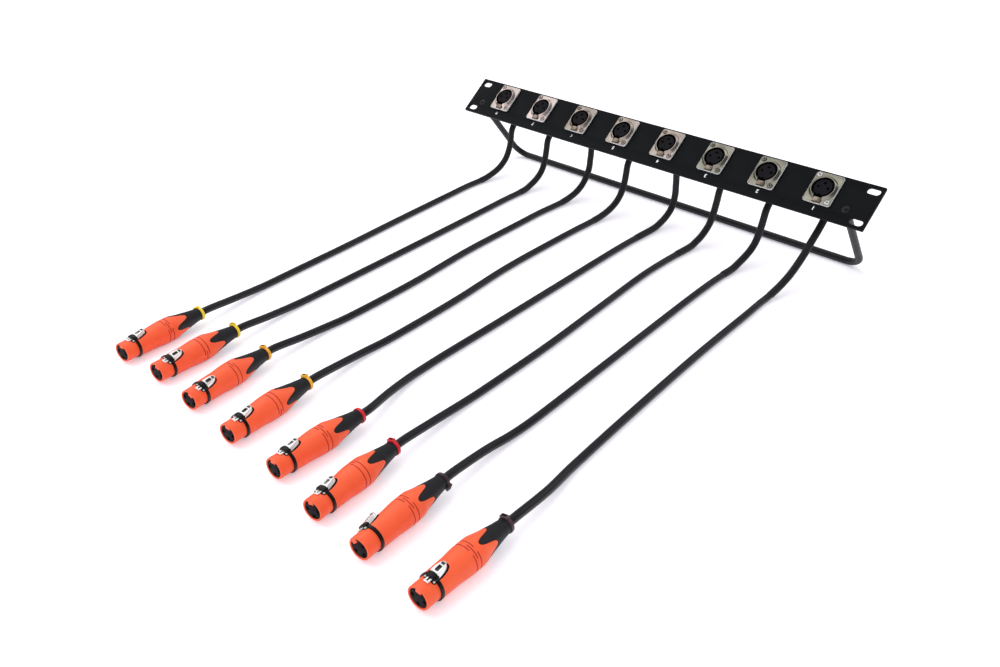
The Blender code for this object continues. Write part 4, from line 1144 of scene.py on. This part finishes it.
def studio_floor():
    """A pale floor. The camera and glossy surfaces see it a little brighter than it lights the object."""
    built = bmesh.new()
    skin(built, [circle(64, 6.0, z) for z in (-0.02, 0.0)])
    white = surface("floor_white", rgb(250, 249, 252), rgb(247, 246, 250), (0.7, 0.8), scale=3.0)
    tree = white.node_tree
    shader = tree.nodes["Principled BSDF"]
    rays = tree.nodes.new("ShaderNodeLightPath")
    either = tree.nodes.new("ShaderNodeMath")
    either.operation = "MAXIMUM"
    tree.links.new(rays.outputs["Is Camera Ray"], either.inputs[0])
    tree.links.new(rays.outputs["Is Glossy Ray"], either.inputs[1])
    glow = tree.nodes.new("ShaderNodeMath")
    glow.operation = "MULTIPLY"
    glow.inputs[1].default_value = 0.3
    tree.links.new(either.outputs["Value"], glow.inputs[0])
    tree.links.new(glow.outputs["Value"], shader.inputs["Emission Strength"])
    shader.inputs["Emission Color"].default_value = (0.93, 0.9, 1.0, 1.0)
    return finish_mesh("studio_floor", built, white)


def background(tree, colour, strength):
    node = tree.nodes.new("ShaderNodeBackground")
    node.inputs["Color"].default_value = colour
    node.inputs["Strength"].default_value = strength
    return node.outputs["Background"]


def chosen(tree, ray, usual, seen):
    """One of two backgrounds, by the kind of ray."""
    rays = tree.nodes.new("ShaderNodeLightPath")
    mix = tree.nodes.new("ShaderNodeMixShader")
    tree.links.new(rays.outputs[ray], mix.inputs["Fac"])
    tree.links.new(usual, mix.inputs[1])
    tree.links.new(seen, mix.inputs[2])
    return mix.outputs["Shader"]


def studio_world():
    """Even white light, with a pale backdrop for the camera and a dimmer one in glossy surfaces."""
    world = bpy.data.worlds.new("studio")
    bpy.context.scene.world = world
    world.use_nodes = True
    tree = world.node_tree
    lit = tree.nodes["Background"]
    lit.inputs["Color"].default_value = (1.0, 1.0, 1.0, 1.0)
    lit.inputs["Strength"].default_value = 0.75
    backdrop = background(tree, (0.8, 0.8, 0.8, 1.0), 1.0)
    dim = background(tree, (0.9, 0.93, 1.0, 1.0), 0.2)
    result = chosen(tree, "Is Camera Ray", lit.outputs["Background"], backdrop)
    result = chosen(tree, "Is Glossy Ray", result, dim)
    tree.links.new(result, tree.nodes["World Output"].inputs["Surface"])


def aimed(ahead):
    return ahead.to_track_quat("-Z", "Y").to_euler()


def area(name, spot, target, size, power):
    light = bpy.data.lights.new(name, "AREA")
    light.shape = "RECTANGLE"
    light.size, light.size_y = size
    light.energy = power
    item = link(name, light)
    item.location = spot
    item.rotation_euler = aimed(Vector(target) - Vector(spot))


def studio_camera():
    """The photograph's angle and lens."""
    camera = bpy.data.cameras.new("camera")
    camera.lens = 33.19
    camera.sensor_width = 36.0
    camera.clip_start = 0.01
    item = link("camera", camera)
    item.location = (0.5213, -0.7571, 0.3915)
    item.rotation_euler = aimed(Vector((-0.603, 0.613, -0.511)))
    bpy.context.scene.camera = item


studio_floor()
studio_world()
area("key", (-1.3, -0.4, 2.0), (0.0, -0.25, 0.0), (3.4, 2.8), 35.0)
area("fill", (1.5, -1.4, 1.6), (0.0, -0.25, 0.0), (1.4, 1.0), 5.0)
area("rear", (0.3, 1.6, 1.2), (0.0, -0.1, 0.05), (1.8, 0.5), 5.0)
studio_camera()
bpy.context.scene.view_settings.view_transform = "Standard"
